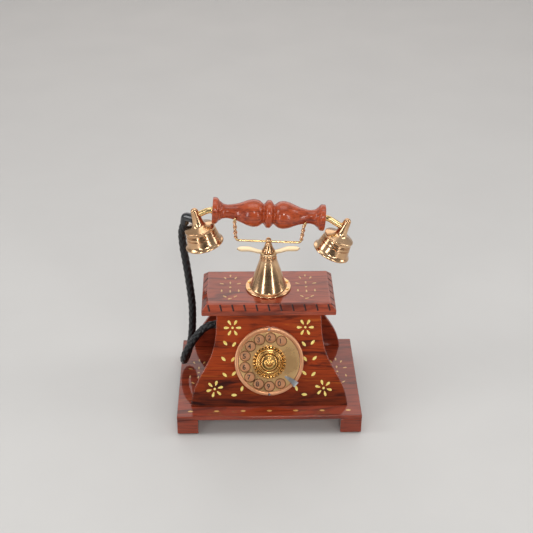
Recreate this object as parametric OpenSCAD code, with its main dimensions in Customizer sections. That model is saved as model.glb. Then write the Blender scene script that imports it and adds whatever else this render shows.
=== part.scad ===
// Cradle telephone with a rotary dial, a wooden case and a turned handle.
// Units are millimetres, Z is up and the feet stand on Z = 0.

/* [Case] */
// Width of the base board
base_w = 228; // [200:1:270]
// Depth of the base board
base_d = 166; // [140:1:190]
// Thickness of the base board
base_t = 5.5; // [4:0.5:10]
// Side of a square foot block
foot_w = 26; // [18:1:34]
// Height of a foot block
foot_h = 21; // [12:0.5:30]
// Thickness of the felt under a foot
felt_t = 1.5; // [1:0.5:3]
// Height of the case walls between base board and top plate
wall_h = 105; // [90:0.5:120]
// Lean of the front panel from upright
panel_lean = 24.5; // [12:0.5:28]
// Thickness of the front panel
panel_t = 8; // [5:0.5:12]
// Thickness of the rear board
rear_t = 6; // [4:0.5:10]
// Thickness of a side wall
side_t = 6; // [4:0.5:10]
// Half distance between the outer faces of the side walls
side_half = 60; // [56:1:64]
// Half width of the front panel under the top plate
board_half = 64; // [62:0.5:70]
// How far the foot of the front panel flares out
board_flare = 35.5; // [20:1:44]

/* [Top plate] */
// Width of the top plate
plate_w = 165.4; // [150:1:190]
// Depth of the top plate
plate_d = 92; // [84:1:104]
// Height of the plain edge of the top plate
lip_h = 6; // [4:0.5:8]
// Height of the sloped border of the top plate
slope_h = 7.5; // [5:0.5:10]
// Width of the sloped border of the top plate
slope_w = 7; // [5:0.5:10]

/* [Dial] */
// Outer radius of the dial ring
ring_r = 42.5; // [38:0.5:46]
// Radius of the finger wheel
wheel_r = 37.3; // [33:0.1:41]
// Thickness of the finger wheel
wheel_t = 1.6; // [1.2:0.1:3]
// Radius of a finger hole
hole_r = 6; // [5:0.1:7]
// Distance of the finger holes from the centre
hole_ring = 30.4; // [26:0.1:33]
// Angle between two finger holes
hole_step = 26.3; // [24:0.1:30]
// Radius of the dial shaft
shaft_r = 3; // [2:0.1:5]

/* [Tower] */
// Radius of the tower flange
flange_r = 28.6; // [26:0.2:34]
// Height of the tower cone
cone_h = 43.8; // [32:1:50]
// Radius of the cone at its top
cone_top_r = 9.8; // [8:0.2:13]
// Radius of the plunger rod
rod_r = 3; // [2:0.1:4]
// Travel of the plunger
rise = 4; // [2:0.5:6]
// Half span of the cradle bar to its bends
bar_half = 36; // [30:0.5:44]
// Radius of the cradle wire
wire_r = 1.4; // [1:0.1:2]
// Slant of the cradle bar
cradle_roll = 2.8; // [0:0.1:5]

/* [Handset] */
// Height of the handle axis above the ground
handle_z = 249.4; // [225:0.2:260]
// Slant of the handset as it rests
handset_roll = 4.65; // [0:0.05:6]
// Largest radius of the handle
handle_r = 16.6; // [14:0.2:20]
// Radius of the handle necks
neck_r = 8.4; // [8:0.1:11]
// Radius of a brass tube
tube_r = 3.6; // [3:0.1:5]
// Inward tilt of a cup
cup_tilt = 19; // [10:1:28]
// Radius of a cup at its mouth
mouth_r = 23.8; // [20:0.1:27]
// Wall of a cup
cup_wall = 1.4; // [1:0.1:2.5]
// Radius of the braided cord
cord_r = 5; // [2.5:0.1:5.5]

/* [Fits] */
// Radial gap of a shaft that turns in its bore
run_gap = 0.05; // [0.02:0.01:0.1]
// Radial gap of a piece that seats in a hole and stays there
seat_gap = 0.03; // [0.02:0.01:0.1]
// Gap round a piece that passes without touching
free_gap = 0.4; // [0.3:0.1:1]

/* [Hidden] */
$fn = 64;
base_z = felt_t + foot_h;              // underside of the base board
case_z = base_z + base_t;              // top of the base board
plate_z = case_z + wall_h;             // underside of the top plate
top_z = plate_z + lip_h + slope_h;     // top of the top plate
front_y = -base_d / 2 + 20;            // foot of the front panel
lean_run = wall_h * tan(panel_lean);   // how far the panel leans back
plate_y0 = front_y + lean_run - 3;   // front edge of the top plate
plate_yc = plate_y0 + plate_d / 2;     // middle of the top plate
rear_y = plate_y0 + plate_d - 2;       // outer face of the rear board
flare_mid = 41;                        // height where the flare is half gone
panel_run = panel_t / cos(panel_lean); // thickness of the panel, level
slant_h = wall_h / cos(panel_lean);    // height of the panel along its face
dial_up = 57.7;                        // dial centre above the panel foot
digits = 10;
first_hole = 60;
governor_x = 24.2;
can_r = 36;
can_d = 22;
seat_t = 1.2;                          // dial seat plate
ring_in = wheel_r + 0.9;
wheel_z = 7;
rim_t = 1;
hub_r = 20.8;
hub_z = wheel_z + wheel_t;
stop_z = hub_z + rim_t + 0.8;
boss_h = 4;
cap_z = top_z + cone_h + 8;            // underside of the plunger cap
bar_z = cap_z + 13.6;                  // cradle bar at the middle
bend_r = 4;
bar_lean = 6;                          // outward lean of the cradle risers
prong_r = 1.5;
prong_reach = 70;
handle_half = 67.6;
fork_gap = 0.3;
cup_us = [81.6, 88.4];                 // middle of a cup shoulder, left and right,
cup_w = -24.6;                         // along the handle, and its drop below it
shoulder_r = 18.8;
knob_r = 6;
knob_h = 26.8;
cone_rise = 4.5;
mouth_z = -23;
rod_end = plate_z - 16.5;              // underside of the plunger disc
spring_z = rod_end - 15;               // floor of the hook bracket
spring_wire = 0.8;
lever_x = 20;
lever_arm = 12.5;
gland_y = 9;
gland_z = 103;
gland_len = 6;
elbow = [-100.2, 38.4, 241.5];         // corner of the gland on the left cup
elbow_axis = [0.18, -0.18, 0.967];     // heading of its lower leg, upwards

wood = [0.42, 0.13, 0.06];
wood2 = [0.6, 0.25, 0.13];
brass = [0.83, 0.62, 0.42];
gold = [0.95, 0.78, 0.4];
steel = [0.66, 0.67, 0.69];
black = [0.06, 0.06, 0.07];
copper = [0.72, 0.38, 0.2];

// route of the handset cord, from the case to the handset
cord_points = [
  [-66, 9, 103], [-74, 9, 101.6], [-82.6, 8.2, 96.4], [-92, 7, 85.4],
  [-99.8, 5.7, 73], [-105.4, 5.3, 62], [-108.4, 8.6, 50.5], [-108.8, 15.5, 42.9],
  [-107.2, 25.5, 40], [-104.6, 35.5, 42.7], [-102, 42.8, 50], [-100, 45.7, 60],
  [-98.2, 47.2, 81], [-97.6, 47.8, 108], [-99.6, 48.4, 136], [-102.6, 48.6, 167],
  [-105.6, 48.2, 194], [-106, 45.6, 216], [-102, 40.2, 232]];

// ---------- helpers ----------
module ring(r1, r0, h) difference() {
  cylinder(r = r1, h = h);
  translate([0, 0, -1]) cylinder(r = r0, h = h + 2);
}
module mirror_copy() { children(); mirror([1, 0, 0]) children(); }
// frame of the front face of the panel: x right, y up the face, z out of it
module on_face(up = 0)
  translate([0, front_y, case_z]) rotate([90 - panel_lean, 0, 0])
    translate([0, up, 0]) children();
module on_tower(z) translate([0, plate_yc, z]) children();
// frame of the handset: x along the handle, z up
module on_handset() translate([0, plate_yc, handle_z])
  rotate([0, handset_roll, 0]) children();
// frame of a cup: z along its axis, origin in the middle of its shoulder
module on_cup(u) translate([u, 0, cup_w]) rotate([0, cup_tilt, 0]) children();
// half width of the front and rear boards at a height above the base board
function board_w(h) = board_half + board_flare / (1 + exp((h - flare_mid) / 14));
// outline of a board, whose heights are stretched by k
module board_outline(k) {
  n = 18;
  polygon(concat(
    [for (i = [0:n]) [board_w(wall_h * i / n), wall_h * k * i / n]],
    [for (i = [n:-1:0]) [-board_w(wall_h * i / n), wall_h * k * i / n]]));
}
// a petal or an oval inlay, pointed at its inner end when tip > 0
module petal(len, wid, tip, h) linear_extrude(h)
  polygon([for (i = [0:13]) let (a = i * 360 / 14, s = 1 - tip * (1 - sin(a)) / 2)
    [wid / 2 * cos(a) * s, len / 2 * sin(a)]]);
// two rows of petals round a dot
module long_flower(h) {
  for (a = [0:36:324]) translate([11.2 * sin(a), 27 * cos(a), 0])
    rotate(-atan2(sin(a) * 11.2, cos(a) * 27) * 1.4) petal(5.6, 2.6, 0.5, h);
  for (s = [-1, 1]) translate([0, s * 10, 0]) rotate(s > 0 ? 0 : 180)
    petal(5.6, 2.6, 0.5, h);
  cylinder(r = 1.5, h = h, $fn = 24);
}
module round_flower(h) {
  for (a = [30:60:330]) rotate(a) translate([0, 7.3, 0]) petal(6.6, 4.2, 0.6, h);
  cylinder(r = 1.5, h = h, $fn = 24);
}
// a countersunk screw with a slot, its head top at z = 0
module screw(r, head, len) difference() {
  union() {
    translate([0, 0, -head * 0.5]) cylinder(r1 = r, r2 = head, h = head * 0.5);
    translate([0, 0, -len]) cylinder(r = r, h = len - head * 0.4);
  }
  translate([-head, -0.35, -0.6]) cube([2 * head, 0.7, 1]);
}
// radius of the handle at a distance from its middle
handle_points = [
  [0, 16.9], [2.1, 16.6], [4, 14.6], [5.5, 12.5], [6.8, 12], [8.6, 13.4],
  [12, 15.7], [16.2, 16.6], [20, 16.5], [25.8, 15.1], [31.5, 12.8], [37.2, 10.6],
  [43, 9.2], [48, 8.4], [51.5, 8.4], [55.5, 9.4], [58.6, 11.2], [59.2, 11.2],
  [59.8, 10.6], [61.6, 12.2], [63.5, 14.9], [64.8, 16], [66.7, 15.9], [67.6, 15]
];
function handle_k(u) = lookup(u, [[0, handle_r / 16.6], [31.5, handle_r / 16.6],
  [43, neck_r / 8.4], [55.5, neck_r / 8.4], [67.6, handle_r / 16.6]]);
function handle_at(u) = lookup(abs(u), handle_points) * handle_k(abs(u));

// ---------- case ----------
module foot_spots() for (x = [-1, 1], y = [-1, 1])
  translate([x * (base_w - foot_w) / 2, y * (base_d - foot_w) / 2, 0]) children();
module felt_pads() color([0.16, 0.2, 0.16]) foot_spots()
  translate([2 - foot_w / 2, 2 - foot_w / 2, 0])
    cube([foot_w - 4, foot_w - 4, felt_t]);
module feet() color(wood) foot_spots()
  translate([-foot_w / 2, -foot_w / 2, felt_t]) cube([foot_w, foot_w, foot_h]);

cover_w = 100;
cover_d = 96;
cover_y = 6;
module cover_spots() for (x = [-1, 1], y = [-1, 1])
  translate([x * (cover_w / 2 - 6), cover_y + y * (cover_d / 2 - 6), 0]) children();
module sound_slots(h) for (i = [-3:3])
  translate([i * 8 - 1.5, cover_y - 38, base_z - 2]) cube([3, 20, h]);
module case_screw_spots() for (x = [-1, 1], y = [-34, 48])
  translate([x * (side_half - side_t / 2), y, base_z]) children();
module row_spots() for (i = [-3:3]) translate([i * base_w / 7, -base_d / 2 + 11, 0])
  children();
module base_inlay_shapes(h) {
  row_spots() rotate(90) petal(6.4, 3.2, 0, h);
  mirror_copy() translate([base_w / 2 - 23.5, 8, 0]) long_flower(h);
}
module base_board() color(wood) difference() {
  translate([-base_w / 2, -base_d / 2, base_z]) cube([base_w, base_d, base_t]);
  sound_slots(base_t + 4);
  translate([0, 0, case_z - 0.8]) base_inlay_shapes(2);
  cover_spots() translate([0, 0, base_z - 1]) cylinder(r = 1.6, h = base_t);
  case_screw_spots() translate([0, 0, -1]) cylinder(r = 3.4, h = base_t + 2);
}
module base_inlay() color(gold) translate([0, 0, case_z - 0.8]) base_inlay_shapes(0.8);
module bottom_cover() color(steel) difference() {
  translate([-cover_w / 2, cover_y - cover_d / 2, base_z - 1.2])
    cube([cover_w, cover_d, 1.2]);
  cover_spots() translate([0, 0, base_z - 3]) cylinder(r = 1.6, h = 4);
  sound_slots(3);
}
module cover_screws() color(steel) cover_spots()
  translate([0, 0, base_z - 1.2]) mirror([0, 0, 1]) {
    difference() {
      cylinder(r = 3, h = 1.4);
      translate([-3, -0.4, 0.8]) cube([6, 0.8, 1]);
    }
    translate([0, 0, -4.4]) cylinder(r = 1.6 - free_gap / 4, h = 4.4);
  }
case_screw_in = 12;                     // how far a case screw reaches into a side wall
module case_screws() color(steel) case_screw_spots() {
  difference() {
    translate([0, 0, 0.6]) cylinder(r = 3, h = 2.2);
    translate([-3, -0.4, 0]) cube([6, 0.8, 1.4]);
  }
  translate([0, 0, 2.8]) cylinder(r = 1.8, h = base_t - 2.8 + case_screw_in);
}
module case_slab() translate([-150, -150, case_z]) cube([300, 300, wall_h]);
module face_inlay_shapes(h) mirror_copy() {
  for (q = [[44.8, 99.4, 0], [67.6, 22.6, -15]]) translate([q[0], q[1], 0]) rotate(q[2])
    round_flower(h);
  // pairs of ovals beside the dial: distance out, height up, slant
  for (q = [[43, 78.6, -38], [54, 80.4, 38], [44.6, 59.8, -34], [56.4, 60.6, 44],
            [43.6, 42, -44], [55, 40.4, 44], [43.6, 14.6, 92], [33.8, 22.6, -16]])
    translate([q[0], q[1], 0]) rotate(-q[2]) petal(7, 3.4, 0, h);
}
module front_panel() color(wood) difference() {
  intersection() {
    on_face() translate([0, -8, -panel_t])
      linear_extrude(panel_t) union() {
        translate([0, 8]) board_outline(1 / cos(panel_lean));
        translate([-board_w(0), 0]) square([2 * board_w(0), 8]);
        translate([-board_w(wall_h), slant_h]) square([2 * board_w(wall_h), 20]);
      }
    case_slab();
  }
  on_face(dial_up) translate([0, 0, -panel_t - 9])
    cylinder(r = can_r + free_gap, h = panel_t + 18);
  on_face() translate([0, 0, -0.8]) face_inlay_shapes(3);
}
module front_inlay() color(gold) on_face() translate([0, 0, -0.8])
  face_inlay_shapes(0.8);
module rear_board() color(wood) difference() {
  translate([0, rear_y, case_z]) rotate([90, 0, 0])
    linear_extrude(rear_t) board_outline(1);
  translate([34, rear_y + 1, case_z + 16]) rotate([90, 0, 0])
    cylinder(r = 6.3, h = rear_t + 2);
}
module side_wall() rotate([90, 0, 90]) translate([0, 0, side_half - side_t])
  linear_extrude(side_t) polygon([
    [front_y + panel_run, case_z], [rear_y - rear_t, case_z],
    [rear_y - rear_t, plate_z], [front_y + lean_run + panel_run, plate_z]]);
module side_holes() for (y = [-34, 48]) translate([side_half - side_t / 2, y, case_z - 1])
  cylinder(r = 1.8 + seat_gap, h = case_screw_in + 1);
module side_wall_right() color(wood) difference() { side_wall(); side_holes(); }
module side_wall_left() color(wood) difference() {
  mirror([1, 0, 0]) difference() { side_wall(); side_holes(); }
  translate([-side_half - 1, gland_y, gland_z]) rotate([0, 90, 0])
    cylinder(r = 4.6, h = side_t + 2);
}
// a short cutter that lies on the slope of the border
module notch() rotate([0, 0, 14]) translate([0, 0, 0.75]) rotate([0, 90, 0])
  translate([0, 0, -slope_w * 0.62]) cylinder(r = 1.25, h = slope_w * 1.24, $fn = 20);
module side_notches(len, out) {
  n = round((len - 10) / 13.6);
  for (i = [0:n - 1]) translate([out - slope_w / 2, (i - (n - 1) / 2) * (len - 18) / (n - 1),
    lip_h + slope_h / 2]) rotate([0, atan2(slope_h, slope_w), 0]) notch();
}
module top_plate() color(wood) difference() {
  translate([0, plate_yc, plate_z]) intersection() {
    rotate([90, 0, 0]) translate([0, 0, -plate_d]) linear_extrude(2 * plate_d)
      plate_side(plate_w / 2);
    rotate([90, 0, 90]) translate([0, 0, -plate_w]) linear_extrude(2 * plate_w)
      plate_side(plate_d / 2);
  }
  translate([0, plate_yc, plate_z]) {
    for (a = [0, 180]) rotate(a) side_notches(plate_d, plate_w / 2);
    for (a = [90, 270]) rotate(a) side_notches(plate_w, plate_d / 2);
  }
  on_tower(plate_z - 1) cylinder(r = rod_r + free_gap, h = lip_h + slope_h + 2);
  translate([0, 0, top_z - 0.8]) top_inlay_shapes(2);
}
module plate_side(w) polygon([[-w, 0], [w, 0], [w, lip_h],
  [w - slope_w, lip_h + slope_h], [slope_w - w, lip_h + slope_h], [-w, lip_h]]);
module top_inlay_shapes(h) mirror_copy()
  translate([(plate_w / 2 + flange_r) / 2 - 8, plate_yc, 0]) long_flower(h);
module top_inlay() color(gold) translate([0, 0, top_z - 0.8]) top_inlay_shapes(0.8);

// ---------- dial ----------
module dial_seat() color(steel) on_face(dial_up) {
  ring(ring_r - 0.8, can_r - 4, seat_t);
  translate([0, 0, -can_d]) ring(can_r, can_r - 1.2, can_d);
  translate([0, 0, -can_d]) difference() {
    ring(can_r - 1, shaft_r - 0.8 + run_gap, 2);
    translate([governor_x, 0, -1]) cylinder(r = 1.1 + run_gap, h = 4, $fn = 40);
  }
}
module dial_ring() color(brass) on_face(dial_up) translate([0, 0, seat_t]) difference() {
  rotate_extrude($fn = 96) polygon([[ring_in, 0], [ring_r, 0], [ring_r, 5.2],
    [ring_r - 0.5, 5.9], [ring_r - 1.1, 6.2], [ring_in + 1, 6.2],
    [ring_in + 0.6, 5.6], [ring_in, 5.2]]);
  for (a = [90, 270]) rotate(a) translate([(ring_r + ring_in) / 2 + 0.3, 0, -1])
    cylinder(r = 0.9, h = 9, $fn = 24);
}
module ring_screws() color(steel) on_face(dial_up) for (a = [90, 270]) rotate(a)
  translate([(ring_r + ring_in) / 2 + 0.3, 0, seat_t + 6.2]) {
    translate([0, 0, -6.2]) cylinder(r = 0.7, h = 6.2, $fn = 24);
    difference() {
      cylinder(r = 1.6, h = 0.9, $fn = 32);
      translate([-2, -0.25, 0.4]) cube([4, 0.5, 1]);
    }
  }
module number_plate() color([0.85, 0.8, 0.7]) on_face(dial_up)
  translate([0, 0, seat_t]) ring(ring_in - 0.4, shaft_r + free_gap, 1.4);
module hole_spots() for (i = [0:digits - 1])
  rotate(first_hole + i * hole_step) translate([hole_ring, 0, 0]) children();
module finger_wheel() color(brass) on_face(dial_up) translate([0, 0, wheel_z])
  difference() {
    cylinder(r = wheel_r, h = wheel_t, $fn = 96);
    hole_spots() translate([0, 0, -1]) cylinder(r = hole_r, h = wheel_t + 4, $fn = 40);
  }
module hole_rims() color(brass) on_face(dial_up) translate([0, 0, wheel_z + wheel_t])
  hole_spots() rotate_extrude($fn = 40) polygon([[hole_r, 0], [hole_r + 0.85, 0],
    [hole_r + 0.85, rim_t * 0.6], [hole_r + 0.5, rim_t], [hole_r, rim_t]]);
module dial_hub() color(gold) on_face(dial_up) translate([0, 0, hub_z]) {
  difference() {
    cylinder(r = hub_r, h = 2.4, $fn = 96);
    for (i = [0:27]) rotate(i * 360 / 28) translate([hub_r + 0.9, 0, -1])
      cylinder(r = 1.7, h = 5, $fn = 20);
  }
  translate([0, 0, 2.4]) rotate_extrude() polygon([[0, 0], [14.2, 0], [14.2, 0.8],
    [12.6, 1.4], [11.2, 0.7], [10.4, 0.9], [10, 1.9], [6, 2.1], [4.4, 2.8],
    [3.4, 4.4], [1.6, 5.8], [0, 6.2]]);
}
module dial_shaft() color(steel) on_face(dial_up) {
  translate([0, 0, -12]) cylinder(r = shaft_r, h = wheel_z + 12);
  translate([0, 0, -can_d - 2]) cylinder(r = shaft_r - 0.8, h = can_d - 10);
}
module dial_gear() color(brass) on_face(dial_up) translate([0, 0, -13.6]) difference() {
  union() {
    cylinder(r = 15, h = 1.6, $fn = 72);
    for (i = [0:35]) rotate(i * 10) translate([14.6, -0.6, 0]) cube([1.6, 1.2, 1.6]);
  }
  translate([0, 0, -1]) cylinder(r = shaft_r - 0.8 + free_gap, h = 4);
  for (i = [0:3]) rotate(i * 90 + 45) translate([9, 0, -1]) cylinder(r = 2.6, h = 4);
}
module governor() color(brass) on_face(dial_up) translate([governor_x, 0, 0]) {
  translate([0, 0, -can_d + 0.6]) cylinder(r = 1.1, h = 15.4, $fn = 32);
  translate([0, 0, -13.6]) cylinder(r = 7.5, h = 1.6);
  translate([0, 0, -11.6]) cylinder(r = 6, h = 3);
  for (i = [0:2]) rotate(i * 120) translate([6.2, 0, -11.8]) cylinder(r = 1.9, h = 3.4);
}
module mainspring() color(steel) on_face(dial_up) translate([0, 0, -8.4])
  linear_extrude(4.4) polygon(concat(
    [for (i = [0:60]) (5.2 + i * 0.11) * [cos(i * 18), sin(i * 18)]],
    [for (i = [60:-1:0]) (4.7 + i * 0.11) * [cos(i * 18), sin(i * 18)]]));
module impulse_contacts() color(copper) on_face(dial_up)
  translate([-30, -7, -can_d + 2]) {
    cube([6, 14, 6]);
    for (y = [2, 6, 10]) translate([2, y, 6]) cube([3.4, 0.5, 9]);
  }
module finger_stop() color(steel) on_face(dial_up) rotate(-42) {
  translate([ring_r + 0.05, -2.6, 0]) cube([1.4, 5.2, stop_z + 1.2]);
  translate([hole_ring - 4.6, -2.6, stop_z]) cube([ring_r - hole_ring + 6.05, 5.2, 1.2]);
  translate([hole_ring - 4.6, -2.6, stop_z]) cube([1.2, 5.2, 3.4]);
}

// ---------- tower and cradle ----------
module tower_screw_spots() for (a = [20, 160, 200, 340])
  on_tower(top_z + 2.4) rotate(a) translate([flange_r - 3, 0, 0]) children();
module tower_cone() color(brass) difference() {
  on_tower(top_z) rotate_extrude($fn = 96) polygon([
    [flange_r - 8.6, 0], [flange_r - 0.6, 0], [flange_r, 0.6], [flange_r, 1.6],
    [flange_r - 0.9, 2.4], [flange_r - 5, 2.4], [flange_r - 6, 3.4],
    [cone_top_r + 0.6, cone_h - 1.6], [cone_top_r + 0.6, cone_h],
    [cone_top_r - 1.4, cone_h], [cone_top_r - 1.4, cone_h - 2], [flange_r - 8.6, 2]]);
  tower_screw_spots() translate([0, 0, -4]) cylinder(r = 1.3, h = 5, $fn = 24);
}
module tower_screws() color(steel) tower_screw_spots() {
  translate([0, 0, -2.4]) cylinder(r = 1.1, h = 2.4, $fn = 24);
  difference() {
    cylinder(r = 1.85, h = 1.1, $fn = 32);
    translate([-3, -0.3, 0.5]) cube([6, 0.6, 1]);
  }
}
collar_z = top_z + cone_h;
module tower_collar() color(brass) on_tower(collar_z) rotate_extrude()
  polygon([[rod_r + run_gap, 0], [cone_top_r + 0.2, 0], [cone_top_r + 0.2, 1.2],
    [cone_top_r - 0.8, 2], [cone_top_r - 0.8, 3.2], [cone_top_r + 0.4, 4.2],
    [cone_top_r, 5], [rod_r + run_gap, 5]]);
wing_len = 37.3;
wing_w = 10;
wing_t = 2;
function wing_lift(x) = 4.2 * (1 - cos(180 * min(1, max(0, (x - 8) / 18)))) / 2;
function wing_half(x) = 3.6 + (wing_w / 2 - 3.6) * min(1, max(0, (x - 10) / 16));
module wing() intersection() {
  rotate([90, 0, 0]) translate([0, 0, -wing_w]) linear_extrude(2 * wing_w)
    polygon(concat([for (x = [6:2:wing_len + 1]) [x, wing_lift(x)]],
      [for (x = [wing_len + 1:-2:6]) [x, wing_lift(x) + wing_t]]));
  linear_extrude(20) union() {
    polygon(concat([for (x = [6:4:34]) [x, -wing_half(x)]],
      [for (x = [34:-4:6]) [x, wing_half(x)]]));
    translate([wing_len - wing_w / 2, 0]) circle(r = wing_w / 2, $fn = 40);
  }
}
module wings() color([0.96, 0.84, 0.6]) on_tower(collar_z + 5) difference() {
  union() {
    cylinder(r = cone_top_r - 0.6, h = wing_t);
    mirror_copy() wing();
  }
  translate([0, 0, -1]) cylinder(r = rod_r + free_gap, h = wing_t + 2);
}
module plunger() color(steel) on_tower(0) {
  translate([0, 0, rod_end]) cylinder(r = rod_r, h = cap_z - rod_end);
  translate([0, 0, rod_end]) cylinder(r = 7, h = 2);
}
module plunger_cap() color(brass) difference() {
  on_tower(cap_z) rotate_extrude() polygon(concat(
    [[0, 0], [7.9, 0], [8.3, 0.8], [7.6, 2.6], [6.1, 5], [4.9, 7.4], [4.1, 9.8],
     [3.5, 11.4], [2.9, 12.2]],
    [for (a = [-50:14:90]) [3.6 * cos(a), 15.4 + 3.6 * sin(a)]]));
  on_tower(bar_z) rotate([0, 90 + cradle_roll, 0]) translate([0, 0, -20])
    cylinder(r = wire_r, h = 40);
}
module on_cradle() on_tower(bar_z) rotate([0, cradle_roll, 0]) children();
module cradle_bar() color(gold) on_cradle() {
  rotate([0, 90, 0]) translate([0, 0, -bar_half]) cylinder(r = wire_r, h = 2 * bar_half);
  mirror_copy() translate([bar_half, 0, bend_r]) rotate([90, 0, 0]) rotate(-90)
    rotate_extrude(angle = 90 - bar_lean, $fn = 48)
      translate([bend_r, 0]) circle(r = wire_r, $fn = 32);
}
// end of the bend, where a riser starts, in the cradle frame
rise_x = bar_half + bend_r * cos(bar_lean);
rise_z = bend_r - bend_r * sin(bar_lean);
// level of a handle's underside over a riser, less the fork, per side
function riser_x(s) = (s * (rise_x + 21 * sin(bar_lean))) * cos(cradle_roll)
  + 21 * sin(cradle_roll);
function riser_top(s) = handle_z - riser_x(s) * tan(handset_roll)
  - fork_in(s) / cos(handset_roll) - 2 * prong_r;
function riser_foot(s) = bar_z - s * rise_x * sin(cradle_roll)
  + rise_z * cos(cradle_roll);
function riser_len(s) = (riser_top(s) - riser_foot(s)) / cos(bar_lean + s * cradle_roll);
function fork_in(s) = handle_at(abs(riser_x(s)) / cos(handset_roll) - 2) + fork_gap;
module cradle_risers() color(brass) for (s = [-1, 1]) on_cradle()
  translate([s * rise_x, 0, rise_z]) rotate([0, s * bar_lean, 0])
    linear_extrude(riser_len(s), twist = 540, slices = 20, segments = 10)
      polygon([for (a = [0:36:324]) (1.9 + 0.6 * cos(2 * a)) * [cos(a), sin(a)]]);
module cradle_forks() color(gold) for (s = [-1, 1])
  translate([riser_x(s), plate_yc, riser_top(s)])
    rotate([0, handset_roll, 0]) {
      cylinder(r = 2, h = prong_r, $fn = 32);
      translate([0, 0, fork_in(s) + 2 * prong_r - 0.05]) rotate([90, 0, 90])
        rotate(270 - prong_reach) rotate_extrude(angle = 2 * prong_reach)
          translate([fork_in(s) + prong_r, 0]) circle(r = prong_r, $fn = 32);
      for (q = [-1, 1]) translate([0, q * (fork_in(s) + prong_r) * sin(prong_reach),
        fork_in(s) + 2 * prong_r - 0.05 - (fork_in(s) + prong_r) * cos(prong_reach)])
        sphere(r = prong_r + 0.25, $fn = 32);
    }
module plunger_spring() color(steel) on_tower(spring_z) {
  turns = 5;
  steps = 12;
  r = 5.4;
  h = rod_end - spring_z;
  n = turns * steps;
  ring_pts = [for (i = [0:n]) let (a = i * 360 / steps)
    [r * cos(a), r * sin(a), spring_wire + (h - 2 * spring_wire) * i / n, a]];
  sweep_tube(ring_pts, spring_wire - 0.1);
}
// a thin wire along points that carry their own heading
module sweep_tube(pts, w) {
  m = 6;
  polyhedron(
    points = [for (p = pts, j = [0:m - 1]) let (b = j * 360 / m)
      [p[0] + w * cos(b) * cos(p[3]), p[1] + w * cos(b) * sin(p[3]), p[2] + w * sin(b)]],
    faces = concat([[for (j = [0:m - 1]) j]],
      [for (i = [0:len(pts) - 2], j = [0:m - 1])
        [i * m + (j + 1) % m, i * m + j, (i + 1) * m + j, (i + 1) * m + (j + 1) % m]],
      [[for (j = [m - 1:-1:0]) (len(pts) - 1) * m + j]]));
}
module hook_bracket() color(steel) on_tower(0) difference() {
  union() {
    translate([-13, -10, spring_z - 2]) cube([43, 20, 2]);
    translate([-13, -10, spring_z]) cube([2, 20, plate_z - spring_z]);
    translate([28, -10, spring_z]) cube([2, 20, plate_z - spring_z]);
    for (y = [-5.4, 4]) translate([lever_x - 3, y, spring_z]) cube([6, 1.4, 12]);
  }
  translate([lever_x, 12, rod_end - 4.2]) rotate([90, 0, 0])
    cylinder(r = 1.2 + run_gap, h = 24, $fn = 40);
}
module hook_lever() color(steel) on_tower(rod_end - 4.2) {
  translate([lever_x, 0, 0]) rotate([90, 0, 0]) translate([0, 0, -7])
    cylinder(r = 1.2, h = 14, $fn = 40);
  translate([lever_x, 3.4, 0]) rotate([90, 0, 0]) cylinder(r = 3, h = 6.8);
  translate([lever_x - lever_arm - 1.4, -3, 1.2]) cube([lever_arm, 6, 1.8]);
}
module hook_contacts() color(copper) on_tower(rod_end + 4) {
  translate([20, -6, 4.5]) cube([8, 12, plate_z - rod_end - 8.5]);
  for (z = [6, 9]) translate([12, -2, z]) cube([8, 4, 0.5]);
}

// ---------- ringer and wiring ----------
gong_x = 27;
gong_y = 30;
gong_z = case_z + 30;
clap_y = gong_y - 24;
clap_z = case_z + 16;
module ringer_frame() color(steel) {
  translate([-44, gong_y - 12, case_z]) cube([88, 24, 2]);
  translate([-8, clap_y - 6, case_z]) cube([16, gong_y - clap_y, 2]);
  mirror_copy() translate([gong_x, gong_y, case_z + 2]) {
    cylinder(r = 3, h = gong_z - case_z - 2);
    translate([0, 0, gong_z - case_z - 2]) cylinder(r = 2, h = 12.5);
  }
  translate([0, clap_y, case_z + 2]) {
    cylinder(r = 4, h = clap_z - case_z - 2);
    cylinder(r = 1.2, h = clap_z - case_z + 2.6);
  }
}
module gongs() color(brass) mirror_copy() translate([gong_x, gong_y, gong_z])
  rotate_extrude($fn = 72) polygon([[2 + free_gap, 0], [6, 0], [12, -2.4], [17.4, -8],
    [19.6, -15], [21, -15], [18.8, -7.2], [13, -1], [6.4, 1.6], [2 + free_gap, 1.6]]);
module ringer_coils() color(copper) mirror_copy() translate([14, gong_y - 2, case_z + 2])
  translate([0, 0, 0]) cylinder(r = 6, h = 10);
module clapper() color(brass) translate([0, clap_y, clap_z]) {
  difference() {
    translate([0, 0, 0.05]) cylinder(r = 3.4, h = 3);
    translate([0, 0, -1]) cylinder(r = 1.2 + run_gap, h = 6);
  }
  translate([-1, 3, 1]) cube([2, gong_y - clap_y - 4, 1.6]);
  translate([0, gong_y - clap_y, 1.8]) sphere(r = 3);
}
module terminal_block() color(black) translate([-50, -40, case_z]) difference() {
  cube([18, 46, 10]);
  for (i = [0:4]) translate([9, 5 + i * 9, 5]) cylinder(r = 2.2, h = 6, $fn = 32);
}
module line_jack() color(black) translate([34, rear_y + 1.2, case_z + 16])
  rotate([90, 0, 0]) difference() {
    union() {
      cylinder(r = 8, h = 1.2);
      cylinder(r = 6, h = rear_t + 9);
    }
    translate([-3.4, -3, -1]) cube([6.8, 6, 9]);
  }

// ---------- handset cord ----------
function unit(v) = v / norm(v);
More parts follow.
